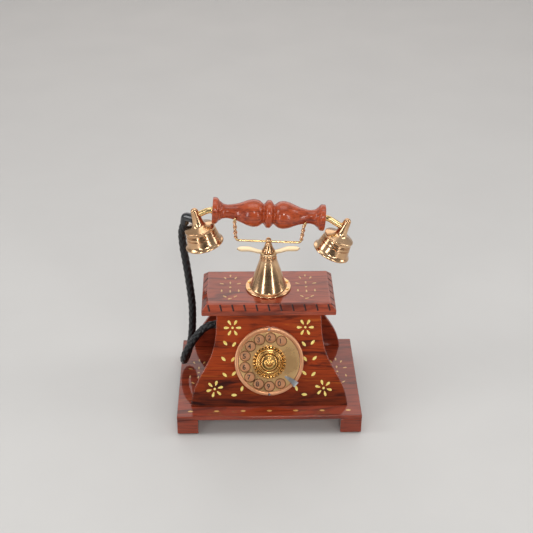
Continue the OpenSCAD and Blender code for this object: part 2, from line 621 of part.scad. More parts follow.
// points along a smooth curve through the route
function curve(p, k) = [for (i = [0:len(p) - 2], j = [0:k - 1]) let (t = j / k,
    a = p[max(0, i - 1)], b = p[i], c = p[i + 1], d = p[min(len(p) - 1, i + 2)])
    0.5 * (2 * b + (c - a) * t + (2 * a - 5 * b + 4 * c - d) * t * t
      + (3 * b - a - 3 * c + d) * t * t * t)];
cord_line = concat(curve(cord_points, 3), [cord_points[len(cord_points) - 1]]);
cord_n = len(cord_line);
function heading(i) = i == 0 ? [-1, 0, 0]
  : i == cord_n - 1 ? unit(elbow_axis)
  : unit(cord_line[i + 1] - cord_line[i - 1]);
module handset_cord() color(black) {
  m = 10;
  // a side direction that is never along the cord: it lies in the ring plane
  side = [for (i = [0:cord_n - 1]) unit(cross(heading(i), [1, -0.3, 0.1]))];
  polyhedron(
    points = [for (i = [0:cord_n - 1], j = [0:m - 1]) let (b = j * 360 / m)
      cord_line[i] + cord_r * (cos(b) * side[i] + sin(b) * cross(heading(i), side[i]))],
    faces = concat([[for (j = [0:m - 1]) j]],
      [for (i = [0:cord_n - 2], j = [0:m - 1])
        [i * m + (j + 1) % m, i * m + j, (i + 1) * m + j, (i + 1) * m + (j + 1) % m]],
      [[for (j = [m - 1:-1:0]) (cord_n - 1) * m + j]]));
}
module case_gland() color(black) translate([-side_half, gland_y, gland_z])
  rotate([0, -90, 0]) {
    cylinder(r = 6.5, h = 1.6);
    cylinder(r = cord_r + 0.9, h = gland_len);
    translate([0, 0, -side_t]) cylinder(r = 4.4, h = side_t + 1);
  }
module along(v) rotate([0, acos(v[2] / norm(v)), atan2(v[1], v[0])]) children();
// where the axis of the left cup's knob passes at the height of the elbow
knob_x = -(cup_us[0] * cos(handset_roll) - cup_w * sin(handset_roll))
  - (elbow[2] - handle_z - cup_us[0] * sin(handset_roll) - cup_w * cos(handset_roll))
  * tan(cup_tilt - handset_roll);
module handset_gland() color(black) difference() {
  union() {
    translate(elbow) sphere(r = cord_r + 0.7);
    translate(elbow) rotate([0, 90, atan2(plate_yc - elbow[1], knob_x - elbow[0])])
      cylinder(r = cord_r + 0.3, h = norm([plate_yc - elbow[1], knob_x - elbow[0]]) - 3);
    translate(cord_points[len(cord_points) - 1]) along(elbow_axis)
      cylinder(r = cord_r + 0.5, h = norm(elbow - cord_points[len(cord_points) - 1]));
  }
  on_handset() mirror([1, 0, 0]) on_cup(cup_us[0]) { cup(); knob(); }
}

// ---------- handset ----------
module handle() color(wood2) on_handset() rotate([0, 90, 0]) difference() {
  rotate_extrude($fn = 72) polygon(concat([[0, -handle_half]],
    [for (i = [len(handle_points) - 1:-1:1])
      [handle_at(handle_points[i][0]), -handle_points[i][0]]],
    [for (q = handle_points) [handle_at(q[0]), q[0]]], [[0, handle_half]]));
  for (s = [0, 1]) mirror([0, 0, s]) translate([0, 0, handle_half - 9])
    cylinder(r = tube_r + seat_gap, h = 10);
}
tube_bend = 16;
tube_drop = 30;
tube_in = 9;
tube_seats = [8.2, 14.8];                // left and right
// the straight end of a tube, which seats in the knob of a cup
module tube_end(r, from, seat) translate([handle_half + tube_bend * sin(tube_drop), 0,
  -tube_bend * (1 - cos(tube_drop))]) rotate([0, 90 + tube_drop, 0])
    translate([0, 0, from]) cylinder(r = r, h = seat - from);
module tube(seat) color(gold) {
  translate([handle_half - tube_in, 0, 0]) rotate([0, 90, 0])
    cylinder(r = tube_r, h = tube_in + 0.5);
  translate([handle_half, 0, -tube_bend]) rotate([90, 0, 0]) rotate(90 - tube_drop)
    rotate_extrude(angle = tube_drop) translate([tube_bend, 0])
      circle(r = tube_r + 0.15);
  tube_end(tube_r, -0.5, seat);
}
module tube_left() on_handset() mirror([1, 0, 0]) tube(tube_seats[0]);
module tube_right() on_handset() tube(tube_seats[1]);
module cup() rotate_extrude($fn = 80) polygon([
  [0, cone_rise], [knob_r + 0.6, cone_rise], [shoulder_r - 0.6, 0.6], [shoulder_r, 0],
  [shoulder_r, -1.2], [shoulder_r - 0.9, -2.3], [shoulder_r - 0.7, -3.6],
  [shoulder_r + 2.2, -18], [mouth_r - 1.7, -19.6], [mouth_r - 0.5, -20.6],
  [mouth_r, mouth_z + 1.2], [mouth_r, mouth_z + 0.4], [mouth_r - 0.4, mouth_z],
  [mouth_r - 1.8, mouth_z], [mouth_r - 2.2, mouth_z + 1], [shoulder_r + 0.4, -17.6],
  [shoulder_r - cup_wall, -14], [shoulder_r - 1 - cup_wall, -2.6],
  [0, cone_rise - cup_wall - 0.4]]);
knob_top = 0.78 * knob_r;
module knob() rotate_extrude() polygon(concat([[0, cone_rise - 1], [knob_r + 3, cone_rise - 1],
  [knob_r + 1.5, cone_rise + 1.6], [knob_r + 0.5, cone_rise + 5]],
  [for (a = [0:10:90]) [knob_top * cos(a), knob_h - knob_top + knob_top * sin(a)]]));
module cup_body(i) difference() {
  on_cup(cup_us[i]) { cup(); knob(); }
  tube_end(tube_r + seat_gap, 0, tube_seats[i]);
}
module cup_left() color(brass) on_handset() mirror([1, 0, 0]) cup_body(0);
module cup_right() color(brass) on_handset() cup_body(1);
module grille(rings) difference() {
  translate([0, 0, -17]) cylinder(r = shoulder_r - cup_wall - 0.1, h = 1.6);
  translate([0, 0, -18]) cylinder(r = 1, h = 4, $fn = 24);
  for (k = [1:rings]) for (i = [0:6 * k - 1]) rotate(i * 60 / k)
    translate([k * 11 / rings, 0, -18]) cylinder(r = 1, h = 4, $fn = 24);
}
module mouth_grille() color(black) on_handset() mirror([1, 0, 0])
  on_cup(cup_us[0]) grille(3);
module ear_grille() color(black) on_handset() on_cup(cup_us[1]) grille(2);
module capsule(r, h) translate([0, 0, -15.4]) cylinder(r = r, h = h);
module transmitter() color(steel) on_handset() mirror([1, 0, 0]) on_cup(cup_us[0]) {
  capsule(14, 8);
  capsule(9, 10.4);
}
module receiver() color(steel) on_handset() on_cup(cup_us[1]) {
  capsule(13, 6);
  capsule(6, 11);
}

// ---------- draw ----------
felt_pads();
feet();
base_board();
base_inlay();
bottom_cover();
cover_screws();
front_panel();
front_inlay();
rear_board();
side_wall_left();
side_wall_right();
top_plate();
top_inlay();
case_screws();
dial_seat();
dial_ring();
ring_screws();
number_plate();
finger_wheel();
hole_rims();
dial_hub();
dial_shaft();
dial_gear();
governor();
mainspring();
impulse_contacts();
finger_stop();
tower_cone();
tower_screws();
tower_collar();
wings();
plunger();
plunger_cap();
cradle_bar();
cradle_risers();
cradle_forks();
plunger_spring();
hook_bracket();
hook_lever();
hook_contacts();
gongs();
ringer_frame();
ringer_coils();
clapper();
terminal_block();
line_jack();
case_gland();
handset_cord();
handset_gland();
handle();
tube_left();
tube_right();
cup_left();
cup_right();
mouth_grille();
ear_grille();
transmitter();
receiver();
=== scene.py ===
# %% [markdown]
# # A cradle telephone with a handset on a brass tower
# This file is a lesson in building a finished look around a fixed engineering model. Metres are
# used, X runs to the right, Y away from the front and Z up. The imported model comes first, and its
# parts are then kept with a better finish or replaced by a smoother piece of the same size.

# %% Load the fixed frame
import bpy, bmesh
from math import radians, degrees, sin, cos, pi, exp, sqrt, atan2
from mathutils import Matrix, Vector


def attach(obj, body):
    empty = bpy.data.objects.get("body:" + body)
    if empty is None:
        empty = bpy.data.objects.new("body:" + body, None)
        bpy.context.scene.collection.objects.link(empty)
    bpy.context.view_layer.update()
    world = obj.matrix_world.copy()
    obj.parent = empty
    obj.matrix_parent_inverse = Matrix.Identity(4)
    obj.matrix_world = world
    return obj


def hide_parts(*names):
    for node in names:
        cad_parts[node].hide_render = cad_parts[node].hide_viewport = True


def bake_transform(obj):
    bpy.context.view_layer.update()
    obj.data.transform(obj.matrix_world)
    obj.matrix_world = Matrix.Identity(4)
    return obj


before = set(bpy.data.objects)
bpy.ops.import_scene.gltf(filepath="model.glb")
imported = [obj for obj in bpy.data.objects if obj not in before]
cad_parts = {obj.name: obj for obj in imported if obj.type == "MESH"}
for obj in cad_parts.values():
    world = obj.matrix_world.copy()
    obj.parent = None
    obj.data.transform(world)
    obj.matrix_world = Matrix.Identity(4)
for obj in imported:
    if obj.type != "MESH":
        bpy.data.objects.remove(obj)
scene = bpy.context.scene
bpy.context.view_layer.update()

# %% [markdown]
# ## The camera
# The camera stands in front and looks down on the top of the case, a little from the left. A long
# lens keeps the sides of the case nearly parallel. A small shift moves the object down in the
# view without tilting the camera, which is how a view camera leaves room above an object.

# %% Camera
LOOK_DOWN, LOOK_RIGHT, ROLL = radians(33.154), radians(1.446), radians(0.365)
AIM, FAR = Vector((-0.0005, 0, 0.130)), 1.2252
ahead = Vector((sin(LOOK_RIGHT) * cos(LOOK_DOWN), cos(LOOK_RIGHT) * cos(LOOK_DOWN), -sin(LOOK_DOWN)))
right = Vector((cos(LOOK_RIGHT), -sin(LOOK_RIGHT), 0))
above = right.cross(ahead)
turn = Matrix((right, above, -ahead)).transposed().to_4x4() @ Matrix.Rotation(ROLL, 4, "Z")
camera = bpy.data.objects.new("camera", bpy.data.cameras.new("camera"))
scene.collection.objects.link(camera)
camera.matrix_world = Matrix.Translation(AIM - ahead * FAR) @ turn
camera.data.lens, camera.data.sensor_width = 66.6, 36
camera.data.shift_x, camera.data.shift_y = -0.0032, 0.0816
scene.camera = camera
print("camera at", [round(v, 3) for v in camera.location])

# %% [markdown]
# ## Helpers
# Shapes are drawn in millimetres in their own simple frame, as a drawing would show them, and are
# then placed once, in the mesh itself, so every finished object stays at the origin. Edges
# that turn sharply are marked sharp and all faces are shaded smooth.

# %% Finish a mesh and give it a body
MM = Matrix.Scale(0.001, 4)
def at(x=0, y=0, z=0):
    return Matrix.Translation((x, y, z))
def tilt(angle, axis="Y"):
    return Matrix.Rotation(radians(angle), 4, axis)
def made(bm, name, mats, body, place=Matrix(), over=(), angle=38, even=False):
    """Turn a bmesh drawn in millimetres into a finished piece that moves with a body."""
    bmesh.ops.remove_doubles(bm, verts=bm.verts, dist=1e-4)
    bmesh.ops.recalc_face_normals(bm, faces=bm.faces)
    for f in bm.faces:
        f.smooth = True
    for e in bm.edges:
        e.smooth = len(e.link_faces) == 2 and e.calc_face_angle(0) < radians(angle)
    bm.transform(MM @ place)
    mesh = bpy.data.meshes.new(name)
    bm.to_mesh(mesh)
    bm.free()
    piece = bpy.data.objects.new(name, mesh)
    scene.collection.objects.link(piece)
    for m in (mats if isinstance(mats, (list, tuple)) else [mats]):
        mesh.materials.append(m)
    if even:
        piece.modifiers.new("even_shading", "WEIGHTED_NORMAL").keep_sharp = True
    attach(piece, body)
    if over:
        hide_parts(*over)
    print(name, len(mesh.polygons), "faces")
def put_in(bm, part, place):
    """Add a small bmesh to a bigger one, at its place."""
    part.transform(place)
    mesh = bpy.data.meshes.new("part")
    part.to_mesh(mesh)
    part.free()
    bm.from_mesh(mesh)
    bpy.data.meshes.remove(mesh)

# %% Turned shapes, as from a lathe
MAP_MM = 50                # millimetres of profile to one unit of the piece's own map
def turned(profile, steps=96, closed=False, soften=0.0):
    """Spin (radius, height) points about Z, and lay a map along the profile."""
    bm = bmesh.new()
    verts = [bm.verts.new((r, 0, z)) for r, z in profile]
    edges = [bm.edges.new(p) for p in zip(verts, verts[1:])]
    if closed:
        edges.append(bm.edges.new((verts[-1], verts[0])))
    bmesh.ops.spin(bm, geom=verts + edges, cent=(0, 0, 0), axis=(0, 0, 1), dvec=(0, 0, 0),
                   angle=2 * pi, steps=steps, use_merge=True)
    bmesh.ops.remove_doubles(bm, verts=bm.verts, dist=1e-3)
    bmesh.ops.recalc_face_normals(bm, faces=bm.faces)
    if soften:
        sharp = [e for e in bm.edges if len(e.link_faces) == 2
                 and e.calc_face_angle(0) > radians(28)
                 and min(v.co.xy.length for v in e.verts) > 0.5]
        bmesh.ops.bevel(bm, geom=sharp, offset=soften, segments=2, profile=0.5,
                        affect="EDGES", material=-1, clamp_overlap=True)
    uv = bm.loops.layers.uv.new("UVMap")
    for f in bm.faces:
        for l in f.loops:
            c = l.vert.co
            l[uv].uv = (atan2(c.y, c.x) / (2 * pi) + 0.5, (c.z + 0.8 * c.xy.length) / MAP_MM)
    return bm
def soft_line(points, per=4):
    """Points on a smooth line through a few points."""
    out, n = [], len(points)
    for i in range(n - 1):
        a, b, c, d = (Vector(points[max(0, min(n - 1, k))]) for k in (i - 1, i, i + 1, i + 2))
        for j in range(per):
            t = j / per
            out.append(0.5 * (2 * b + (c - a) * t + (2 * a - 5 * b + 4 * c - d) * t * t
                              + (3 * b - a - 3 * c + d) * t ** 3))
    return out + [Vector(points[-1])]

# %% Plates cut from an outline, and rods bent along a line
def oval(rx, ry=None, at_=(0, 0), n=32):
    ry = ry or rx
    return [(at_[0] + rx * cos(2 * pi * i / n), at_[1] + ry * sin(2 * pi * i / n)) for i in range(n)]
def box_line(x0, y0, x1, y1):
    return [(x0, y0), (x1, y0), (x1, y1), (x0, y1)]
def plate(outline, holes, z0, z1, round_edge=0.0, picks=None, segments=3):
    """A flat plate with holes: its loops are filled, extruded, and its chosen edges rounded."""
    bm = bmesh.new()
    for loop in [outline] + list(holes):
        verts = [bm.verts.new((x, y, z0)) for x, y in loop]
        for a, b in zip(verts, verts[1:] + verts[:1]):
            bm.edges.new((a, b))
    bmesh.ops.triangle_fill(bm, edges=bm.edges[:], use_beauty=True)
    if not holes:
        bmesh.ops.dissolve_limit(bm, angle_limit=0.01, verts=bm.verts, edges=bm.edges)
    grown = bmesh.ops.extrude_face_region(bm, geom=bm.faces[:])["geom"]
    bmesh.ops.translate(bm, verts=[v for v in grown if isinstance(v, bmesh.types.BMVert)],
                        vec=(0, 0, z1 - z0))
    bmesh.ops.recalc_face_normals(bm, faces=bm.faces)
    if round_edge:
        edges = [e for e in bm.edges if len(e.link_faces) == 2
                 and e.calc_face_angle(0) > radians(30) and (not picks or picks(e))]
        bmesh.ops.bevel(bm, geom=edges, offset=round_edge, segments=segments, profile=0.5,
                        affect="EDGES", material=-1, clamp_overlap=True)
    return bm
def rod(points, radius, taper=None, sides=6):
    """A round rod bent along points, made as a filled curve and turned into a mesh."""
    curve = bpy.data.curves.new("rod", "CURVE")
    curve.dimensions, curve.bevel_depth, curve.bevel_resolution = "3D", radius, sides
    curve.use_fill_caps = True
    line = curve.splines.new("POLY")
    line.points.add(len(points) - 1)
    for k, (p, q) in enumerate(zip(line.points, points)):
        p.co = (*q, 1)
        p.radius = taper(k / (len(points) - 1)) if taper else 1
    ob = bpy.data.objects.new("rod", curve)
    scene.collection.objects.link(ob)
    bm = bmesh.new()
    bm.from_mesh(ob.evaluated_get(bpy.context.evaluated_depsgraph_get()).to_mesh())
    bpy.data.objects.remove(ob)
    bpy.data.curves.remove(curve)
    return bm

# %% [markdown]
# ## Finishes
# Each finish is a Principled shader whose colour, roughness and bump come from noise in the
# piece's own coordinates. One base material with different numbers would look like paint; real
# wood, brass and braid differ in how their pattern runs, so each has its own small node tree.

# %% Node helpers
def finish(name, **values):
    """A material with its Principled shader set by socket name."""
    m = bpy.data.materials.new(name)
    m.use_nodes = True
    shader = m.node_tree.nodes["Principled BSDF"]
    for key, value in values.items():
        shader.inputs[key.replace("_", " ")].default_value = value
    return m, m.node_tree, shader
def add(tree, kind, **inputs):
    n = tree.nodes.new(kind)
    for key, value in inputs.items():
        n.inputs[key.replace("_", " ")].default_value = value
    return n
def pattern(tree, scale, noise=1.0, detail=4.0, twist=0.0, source="Object", rough=0.5,
            shift=(0, 0, 0)):
    """Noise in the piece's own coordinates, stretched by scale."""
    spot = tree.nodes.new("ShaderNodeTexCoord")
    fit = add(tree, "ShaderNodeMapping", Scale=scale, Location=shift)
    n = add(tree, "ShaderNodeTexNoise", Scale=noise, Detail=detail, Distortion=twist, Roughness=rough)
    tree.links.new(spot.outputs[source], fit.inputs["Vector"])
    tree.links.new(fit.outputs["Vector"], n.inputs["Vector"])
    return n.outputs["Fac"]
def ramp(tree, fac, stops):
    r = tree.nodes.new("ShaderNodeValToRGB")
    while len(r.color_ramp.elements) < len(stops):
        r.color_ramp.elements.new(0.5)
    for e, (where, colour) in zip(r.color_ramp.elements, stops):
        e.position = where
        e.color = (*colour, 1) if hasattr(colour, "__len__") else (colour, colour, colour, 1)
    tree.links.new(fac, r.inputs["Fac"])
    return r.outputs["Color"]
def spread(tree, fac, low, high):
    """Stretch the middle of a noise to run from low to high."""
    r = tree.nodes.new("ShaderNodeMapRange")
    r.inputs["From Min"].default_value, r.inputs["From Max"].default_value = 0.3, 0.7
    r.inputs["To Min"].default_value, r.inputs["To Max"].default_value = low, high
    tree.links.new(fac, r.inputs["Value"])
    return r.outputs["Result"]
def bump(tree, shader, height, strength, distance, socket="Normal"):
    b = add(tree, "ShaderNodeBump", Strength=strength, Distance=distance)
    tree.links.new(height, b.inputs["Height"])
    tree.links.new(b.outputs["Normal"], shader.inputs[socket])
def multiplied(tree, a, b, fac):
    m = tree.nodes.new("ShaderNodeMix")
    m.data_type, m.blend_type = "RGBA", "MULTIPLY"
    m.inputs["Factor"].default_value = fac
    tree.links.new(a, m.inputs["A"])
    tree.links.new(b, m.inputs["B"])
    return m.outputs["Result"]

# %% [markdown]
# ## Lacquered sheesham wood
# The case is red-brown rosewood under a thick clear lacquer. Long streaks run across the boards,
# dark pores run with them, and the lacquer is a separate coat with a very slight ripple, so the
# gloss stays sharp while the wood under it is rough.

# %% Wood finishes
LONG_SHARE = 0.17                       # scale of the streaks along the grain, as a share of across
PORE_LONG, PORE_ACROSS = 30, 520        # scale of the pores along and across the grain
def wood(name, along, dark, mid, light, shift=(0, 0, 0), broad=30.0, gloss=0.045):
    m, t, s = finish(name, Roughness=0.5, Specular_IOR_Level=0.1, Coat_Weight=1.0, Coat_Roughness=gloss,
                     Coat_IOR=1.45)
    def stretch(far, near):
        return tuple(far if k == along else near for k in range(3))
    streak = pattern(t, stretch(broad * LONG_SHARE, broad), 2.0, 6.0, 1.1, shift=shift, rough=0.6)
    fine = pattern(t, stretch(PORE_LONG, PORE_ACROSS), 1.0, 3.0, 0.2, shift=shift)
    body = ramp(t, streak, [(0.34, dark), (0.48, mid), (0.6, mid), (0.74, light)])
    pores = ramp(t, fine, [(0.36, 0.5), (0.5, 0.92), (0.7, 1.0)])
    t.links.new(multiplied(t, body, pores, 0.85), s.inputs["Base Color"])
    bump(t, s, fine, 0.25, 0.0002)
    bump(t, s, pattern(t, (1, 1, 1), 70.0, 2.0), 0.05, 0.0006, "Coat Normal")
    return m
def paint_foot_shade(m, low, high, least):
    """Painted shade: the board's wood colour is darkened towards its foot, down to least times itself
    below height low.
    """
    t, s = m.node_tree, m.node_tree.nodes["Principled BSDF"]
    where, parts = t.nodes.new("ShaderNodeTexCoord"), t.nodes.new("ShaderNodeSeparateXYZ")
    t.links.new(where.outputs["Object"], parts.inputs[0])
    foot_shade_mask = t.nodes.new("ShaderNodeMapRange")
    t.links.new(parts.outputs["Z"], foot_shade_mask.inputs["Value"])
    for key, v in zip(("From Min", "From Max", "To Min"), (low, high, least)):
        foot_shade_mask.inputs[key].default_value = v
    wood_colour = s.inputs["Base Color"].links[0].from_socket
    t.links.new(multiplied(t, wood_colour, foot_shade_mask.outputs[0], 1.0), s.inputs["Base Color"])
panel_wood = wood("panel_wood", 0, (0.07, 0.008, 0.003), (0.33, 0.042, 0.006), (0.58, 0.14, 0.016))
# Painted shade on the front board, darker towards its foot above the base.
paint_foot_shade(panel_wood, 0.03, 0.075, 0.42)
top_wood = wood("top_wood", 0, (0.16, 0.024, 0.01), (0.37, 0.062, 0.024), (0.5, 0.12, 0.045),
                shift=(3, 1, 2))
base_wood = wood("base_wood", 0, (0.11, 0.014, 0.005), (0.27, 0.036, 0.011), (0.4, 0.085, 0.026),
                 shift=(5, 3, 2))
side_wood = wood("side_wood", 1, (0.07, 0.009, 0.005), (0.24, 0.03, 0.01), (0.38, 0.075, 0.022))
rear_wood = wood("rear_wood", 0, (0.07, 0.009, 0.005), (0.26, 0.034, 0.011), (0.4, 0.085, 0.024),
                 shift=(2, 5, 1))
handle_wood = wood("handle_wood", 0, (0.26, 0.03, 0.008), (0.46, 0.072, 0.018), (0.6, 0.14, 0.035),
                   shift=(1, 4, 2), broad=42.0, gloss=0.17)

# %% [markdown]
# ## Brass, gilding, steel and the rest
# The brass is polished but pinkish, with faint rings left by the lathe. The rings follow the
# turned surface, so they read the piece's own map, where the second coordinate runs along the
# profile. The inlay is pale yellow brass wire and sheet under lacquer.

# %% Metal finishes
def metal(name, bright, dull, rough, rings=False, solid=1.0):
    m, t, s = finish(name, Metallic=solid)
    cloud = pattern(t, (1, 1, 1), 42.0, 5.0, 0.4)
    t.links.new(ramp(t, cloud, [(0.3, dull), (0.62, bright)]), s.inputs["Base Color"])
    if rings:
        lines = pattern(t, (0.6, 34.0, 1), 2.0, 3.0, 0.0, "UV")
        t.links.new(spread(t, lines, *rough), s.inputs["Roughness"])
        bump(t, s, lines, 0.1, 0.00006)
    else:
        t.links.new(spread(t, cloud, *rough), s.inputs["Roughness"])
        bump(t, s, pattern(t, (1, 1, 1), 900.0, 2.0), 0.12, 0.00005)
    return m
turned_brass = metal("turned_brass", (0.80, 0.52, 0.30), (0.58, 0.33, 0.17), (0.15, 0.25), rings=True)
plain_brass = metal("plain_brass", (0.84, 0.54, 0.33), (0.68, 0.40, 0.23), (0.16, 0.32))
wheel_brass = metal("wheel_brass", (0.88, 0.57, 0.26), (0.72, 0.42, 0.18), (0.24, 0.36), solid=0.72)
ring_brass = metal("ring_brass", (0.78, 0.39, 0.21), (0.66, 0.31, 0.15), (0.26, 0.4), rings=True,
                   solid=0.6)
gilt = metal("gilt_brass", (0.84, 0.50, 0.17), (0.5, 0.24, 0.06), (0.12, 0.3), rings=True)
gilt_wire = metal("gilt_wire", (0.93, 0.7, 0.36), (0.78, 0.52, 0.22), (0.14, 0.28))
cream_brass = metal("wing_brass", (0.97, 0.82, 0.56), (0.9, 0.68, 0.4), (0.3, 0.45))
# Dark brown for the rims of the finger holes: painted shade around the holes.
hole_rim_shade = metal("hole_rim_shade", (0.3, 0.14, 0.05), (0.16, 0.07, 0.03), (0.3, 0.5))
groove = metal("groove_patina", (0.16, 0.07, 0.03), (0.07, 0.03, 0.015), (0.35, 0.6))
steel = metal("steel", (0.62, 0.62, 0.63), (0.42, 0.42, 0.44), (0.2, 0.42))
copper = metal("copper", (0.78, 0.34, 0.17), (0.5, 0.19, 0.09), (0.25, 0.45))
zinc = metal("zinc_plate", (0.55, 0.56, 0.57), (0.36, 0.37, 0.38), (0.35, 0.6))

# %% Inlay, plastics, felt and the dial card
def inlay_finish(name, pale, deep):
    m, t, s = finish(name, Metallic=0.2, Coat_Weight=0.8, Coat_Roughness=0.06)
    c = pattern(t, (1, 1, 1), 500.0, 4.0, 0.3)
    t.links.new(ramp(t, c, [(0.35, deep), (0.6, pale)]), s.inputs["Base Color"])
    t.links.new(spread(t, c, 0.25, 0.45), s.inputs["Roughness"])
    bump(t, s, c, 0.15, 0.0001)
    return m
inlay_gold = inlay_finish("inlay_brass", (1.0, 0.86, 0.30), (0.92, 0.64, 0.12))
inlay_dull = inlay_finish("inlay_brass_dull", (0.72, 0.42, 0.12), (0.5, 0.26, 0.07))
def plain(name, colour, rough, grain=300.0, strength=0.2, deep=0.7, **more):
    m, t, s = finish(name, **more)
    c = pattern(t, (1, 1, 1), grain, 4.0)
    body = ramp(t, c, [(0.3, [v * deep for v in colour]), (0.65, colour)])
    t.links.new(body, s.inputs["Base Color"])
    t.links.new(spread(t, c, rough - 0.06, rough + 0.06), s.inputs["Roughness"])
    bump(t, s, c, strength, 0.0002)
    return m
black_plastic = plain("black_plastic", (0.012, 0.012, 0.014), 0.2, Coat_Weight=0.4)
felt = plain("green_felt", (0.03, 0.06, 0.035), 0.95, 1800.0, 0.9, 0.4, Sheen_Weight=0.6)
card = plain("dial_card", (0.80, 0.42, 0.22), 0.42, 160.0, 0.1, 0.82, Metallic=0.3)
ink = plain("digit_ink", (0.06, 0.035, 0.03), 0.5)

# %% [markdown]
# ## The cord
# A limp braided cord runs from the left wall down past the edge of the case, turns up in a narrow
# loop above the base and hangs from the left cup. Its real length is 0.3 m and it is 10 mm thick.
# A plain tube would look like rubber, so the surface is raised where two sets of strands cross.
# A tube is swept along the route, because a spin or an extrusion can't follow a free curve.

# %% Cord
ROUTE = [(-66, 9, 103), (-74, 9, 101.6), (-82.6, 8.2, 96.4), (-92, 7, 85.4),
         (-99.8, 5.7, 73), (-105.4, 5.3, 62), (-108.4, 8.6, 50.5), (-108.8, 15.5, 42.9),
         (-107.2, 25.5, 40), (-104.6, 35.5, 42.7), (-102, 42.8, 50), (-100, 45.7, 60),
         (-98.2, 47.2, 81), (-97.6, 47.8, 108), (-99.6, 48.4, 136), (-102.6, 48.6, 167),
         (-105.6, 48.2, 194), (-106, 45.6, 216), (-102, 40.2, 232)]
CORD_R, STRANDS, PITCH, AROUND = 5.0, 5, 9.5, 60
LOW, RAISED = 0.83, 0.19   # the surface between the strands, and how far the strands rise
line = soft_line(ROUTE, 32)
heading = [(b - a).normalized() for a, b in zip(line[:1] + line[:-1], line[1:] + line[-1:])]
bm = bmesh.new()
uv = bm.loops.layers.uv.new("UVMap")
side, gone, rings, cord_uv = Vector((0, 0, 1)), 0.0, [], []
for i, (p, h) in enumerate(zip(line, heading)):
    side = (side - h * side.dot(h)).normalized()
    over = h.cross(side)
    gone += (line[i] - line[i - 1]).length if i else 0
    ring = []
    for k in range(AROUND):
        a, s = k / AROUND * STRANDS, gone / PITCH
        weave = sqrt(abs(sin(pi * (a + s))) * abs(sin(pi * (a - s))))
        r = CORD_R * (LOW + RAISED * weave)
        b = 2 * pi * k / AROUND
        ring.append(bm.verts.new(p + r * (cos(b) * side + sin(b) * over)))
    rings.append(ring)
    cord_uv.append(gone)
for i in range(len(rings) - 1):
    for k in range(AROUND):
        n = (k + 1) % AROUND
        f = bm.faces.new((rings[i][k], rings[i][n], rings[i + 1][n], rings[i + 1][k]))
        for l, u, v in zip(f.loops, (k, k + 1, k + 1, k), (i, i, i + 1, i + 1)):
            l[uv].uv = (u / AROUND, cord_uv[v] / (2 * pi * CORD_R))
for ring in (rings[0], rings[-1]):
    bm.faces.new(ring)
braid, t, s = finish("black_braid", Coat_Weight=0.4, Coat_Roughness=0.14, Specular_IOR_Level=0.2)
threads = pattern(t, (1, 1, 1), 130.0, 3.0, 0.0, "UV")
blacks = ramp(t, threads, [(0.35, (0.002, 0.002, 0.0025)), (0.7, (0.012, 0.012, 0.014))])
t.links.new(blacks, s.inputs["Base Color"])
t.links.new(spread(t, threads, 0.3, 0.5), s.inputs["Roughness"])
bump(t, s, threads, 0.35, 0.0002)
bmesh.ops.recalc_face_normals(bm, faces=bm.faces)
for f in bm.faces:
    f.smooth = True
bm.transform(MM)
mesh = bpy.data.meshes.new("braided_cord")
bm.to_mesh(mesh)
bm.free()
mesh.materials.append(braid)
cord = bpy.data.objects.new("braided_cord", mesh)
scene.collection.objects.link(cord)
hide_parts("handset_cord")
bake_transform(cord)
print("cord", round(gone, 1), "mm,", len(mesh.polygons), "faces")

# %% [markdown]
# ## The wooden case
# The base, feet, front and rear boards are new pieces with softly rounded edges, because a glossy
# edge with no rounding catches no light. The outline of the boards widens towards the foot in an
# S-curve. The front board leans back and is trimmed level at its foot and head with two cuts.

# %% Sizes of the case
BASE_W, BASE_D, BASE_T, FOOT, FELT = 228.0, 166.0, 5.5, (26.0, 21.0), 1.5
WALL_H, LEAN, PANEL_T, REAR_T = 105.0, 24.5, 8.0, 6.0
HEAD_HALF, FLARE, FLARE_MID, FLARE_SOFT = 64, 35.5, 41, 14     # outline of the front and rear boards
BASE_Z = FELT + FOOT[1]
CASE_Z = BASE_Z + BASE_T
PLATE_Z = CASE_Z + WALL_H
FRONT_Y = -BASE_D / 2 + 20
LEAN_RUN = WALL_H * sin(radians(LEAN)) / cos(radians(LEAN))
W, D, LIP, SLOPE_H, SLOPE_W = 165.4, 92.0, 6.0, 7.5, 7.0       # the top plate
PLATE_Y0 = FRONT_Y + LEAN_RUN - 3
PLATE_YC = PLATE_Y0 + D / 2
REAR_Y = PLATE_Y0 + D - 2
TOP_Z = PLATE_Z + LIP + SLOPE_H
FLANGE, CONE_H, CONE_TOP = 28.6, 43.8, 9.8                     # the tower
FACE = at(0, FRONT_Y, CASE_Z) @ tilt(90 - LEAN, "X")
SLANT = 1 / cos(radians(LEAN))
def half_width(h):
    """Half the width of the front and rear boards at a height above the base."""
    return HEAD_HALF + FLARE / (1 + exp((h - FLARE_MID) / FLARE_SOFT))
def board_line(k, low=0.0, high=0.0, n=36):
    """Outline of a board whose heights are stretched by k, with spare length at the ends."""
    rise = [WALL_H * i / n for i in range(n + 1)]
    one = [(half_width(h), h * k) for h in rise]
    if low:
        one = [(half_width(0), -low)] + one
    if high:
        one = one + [(half_width(WALL_H), WALL_H * k + high)]
    return one + [(-x, y) for x, y in reversed(one)]

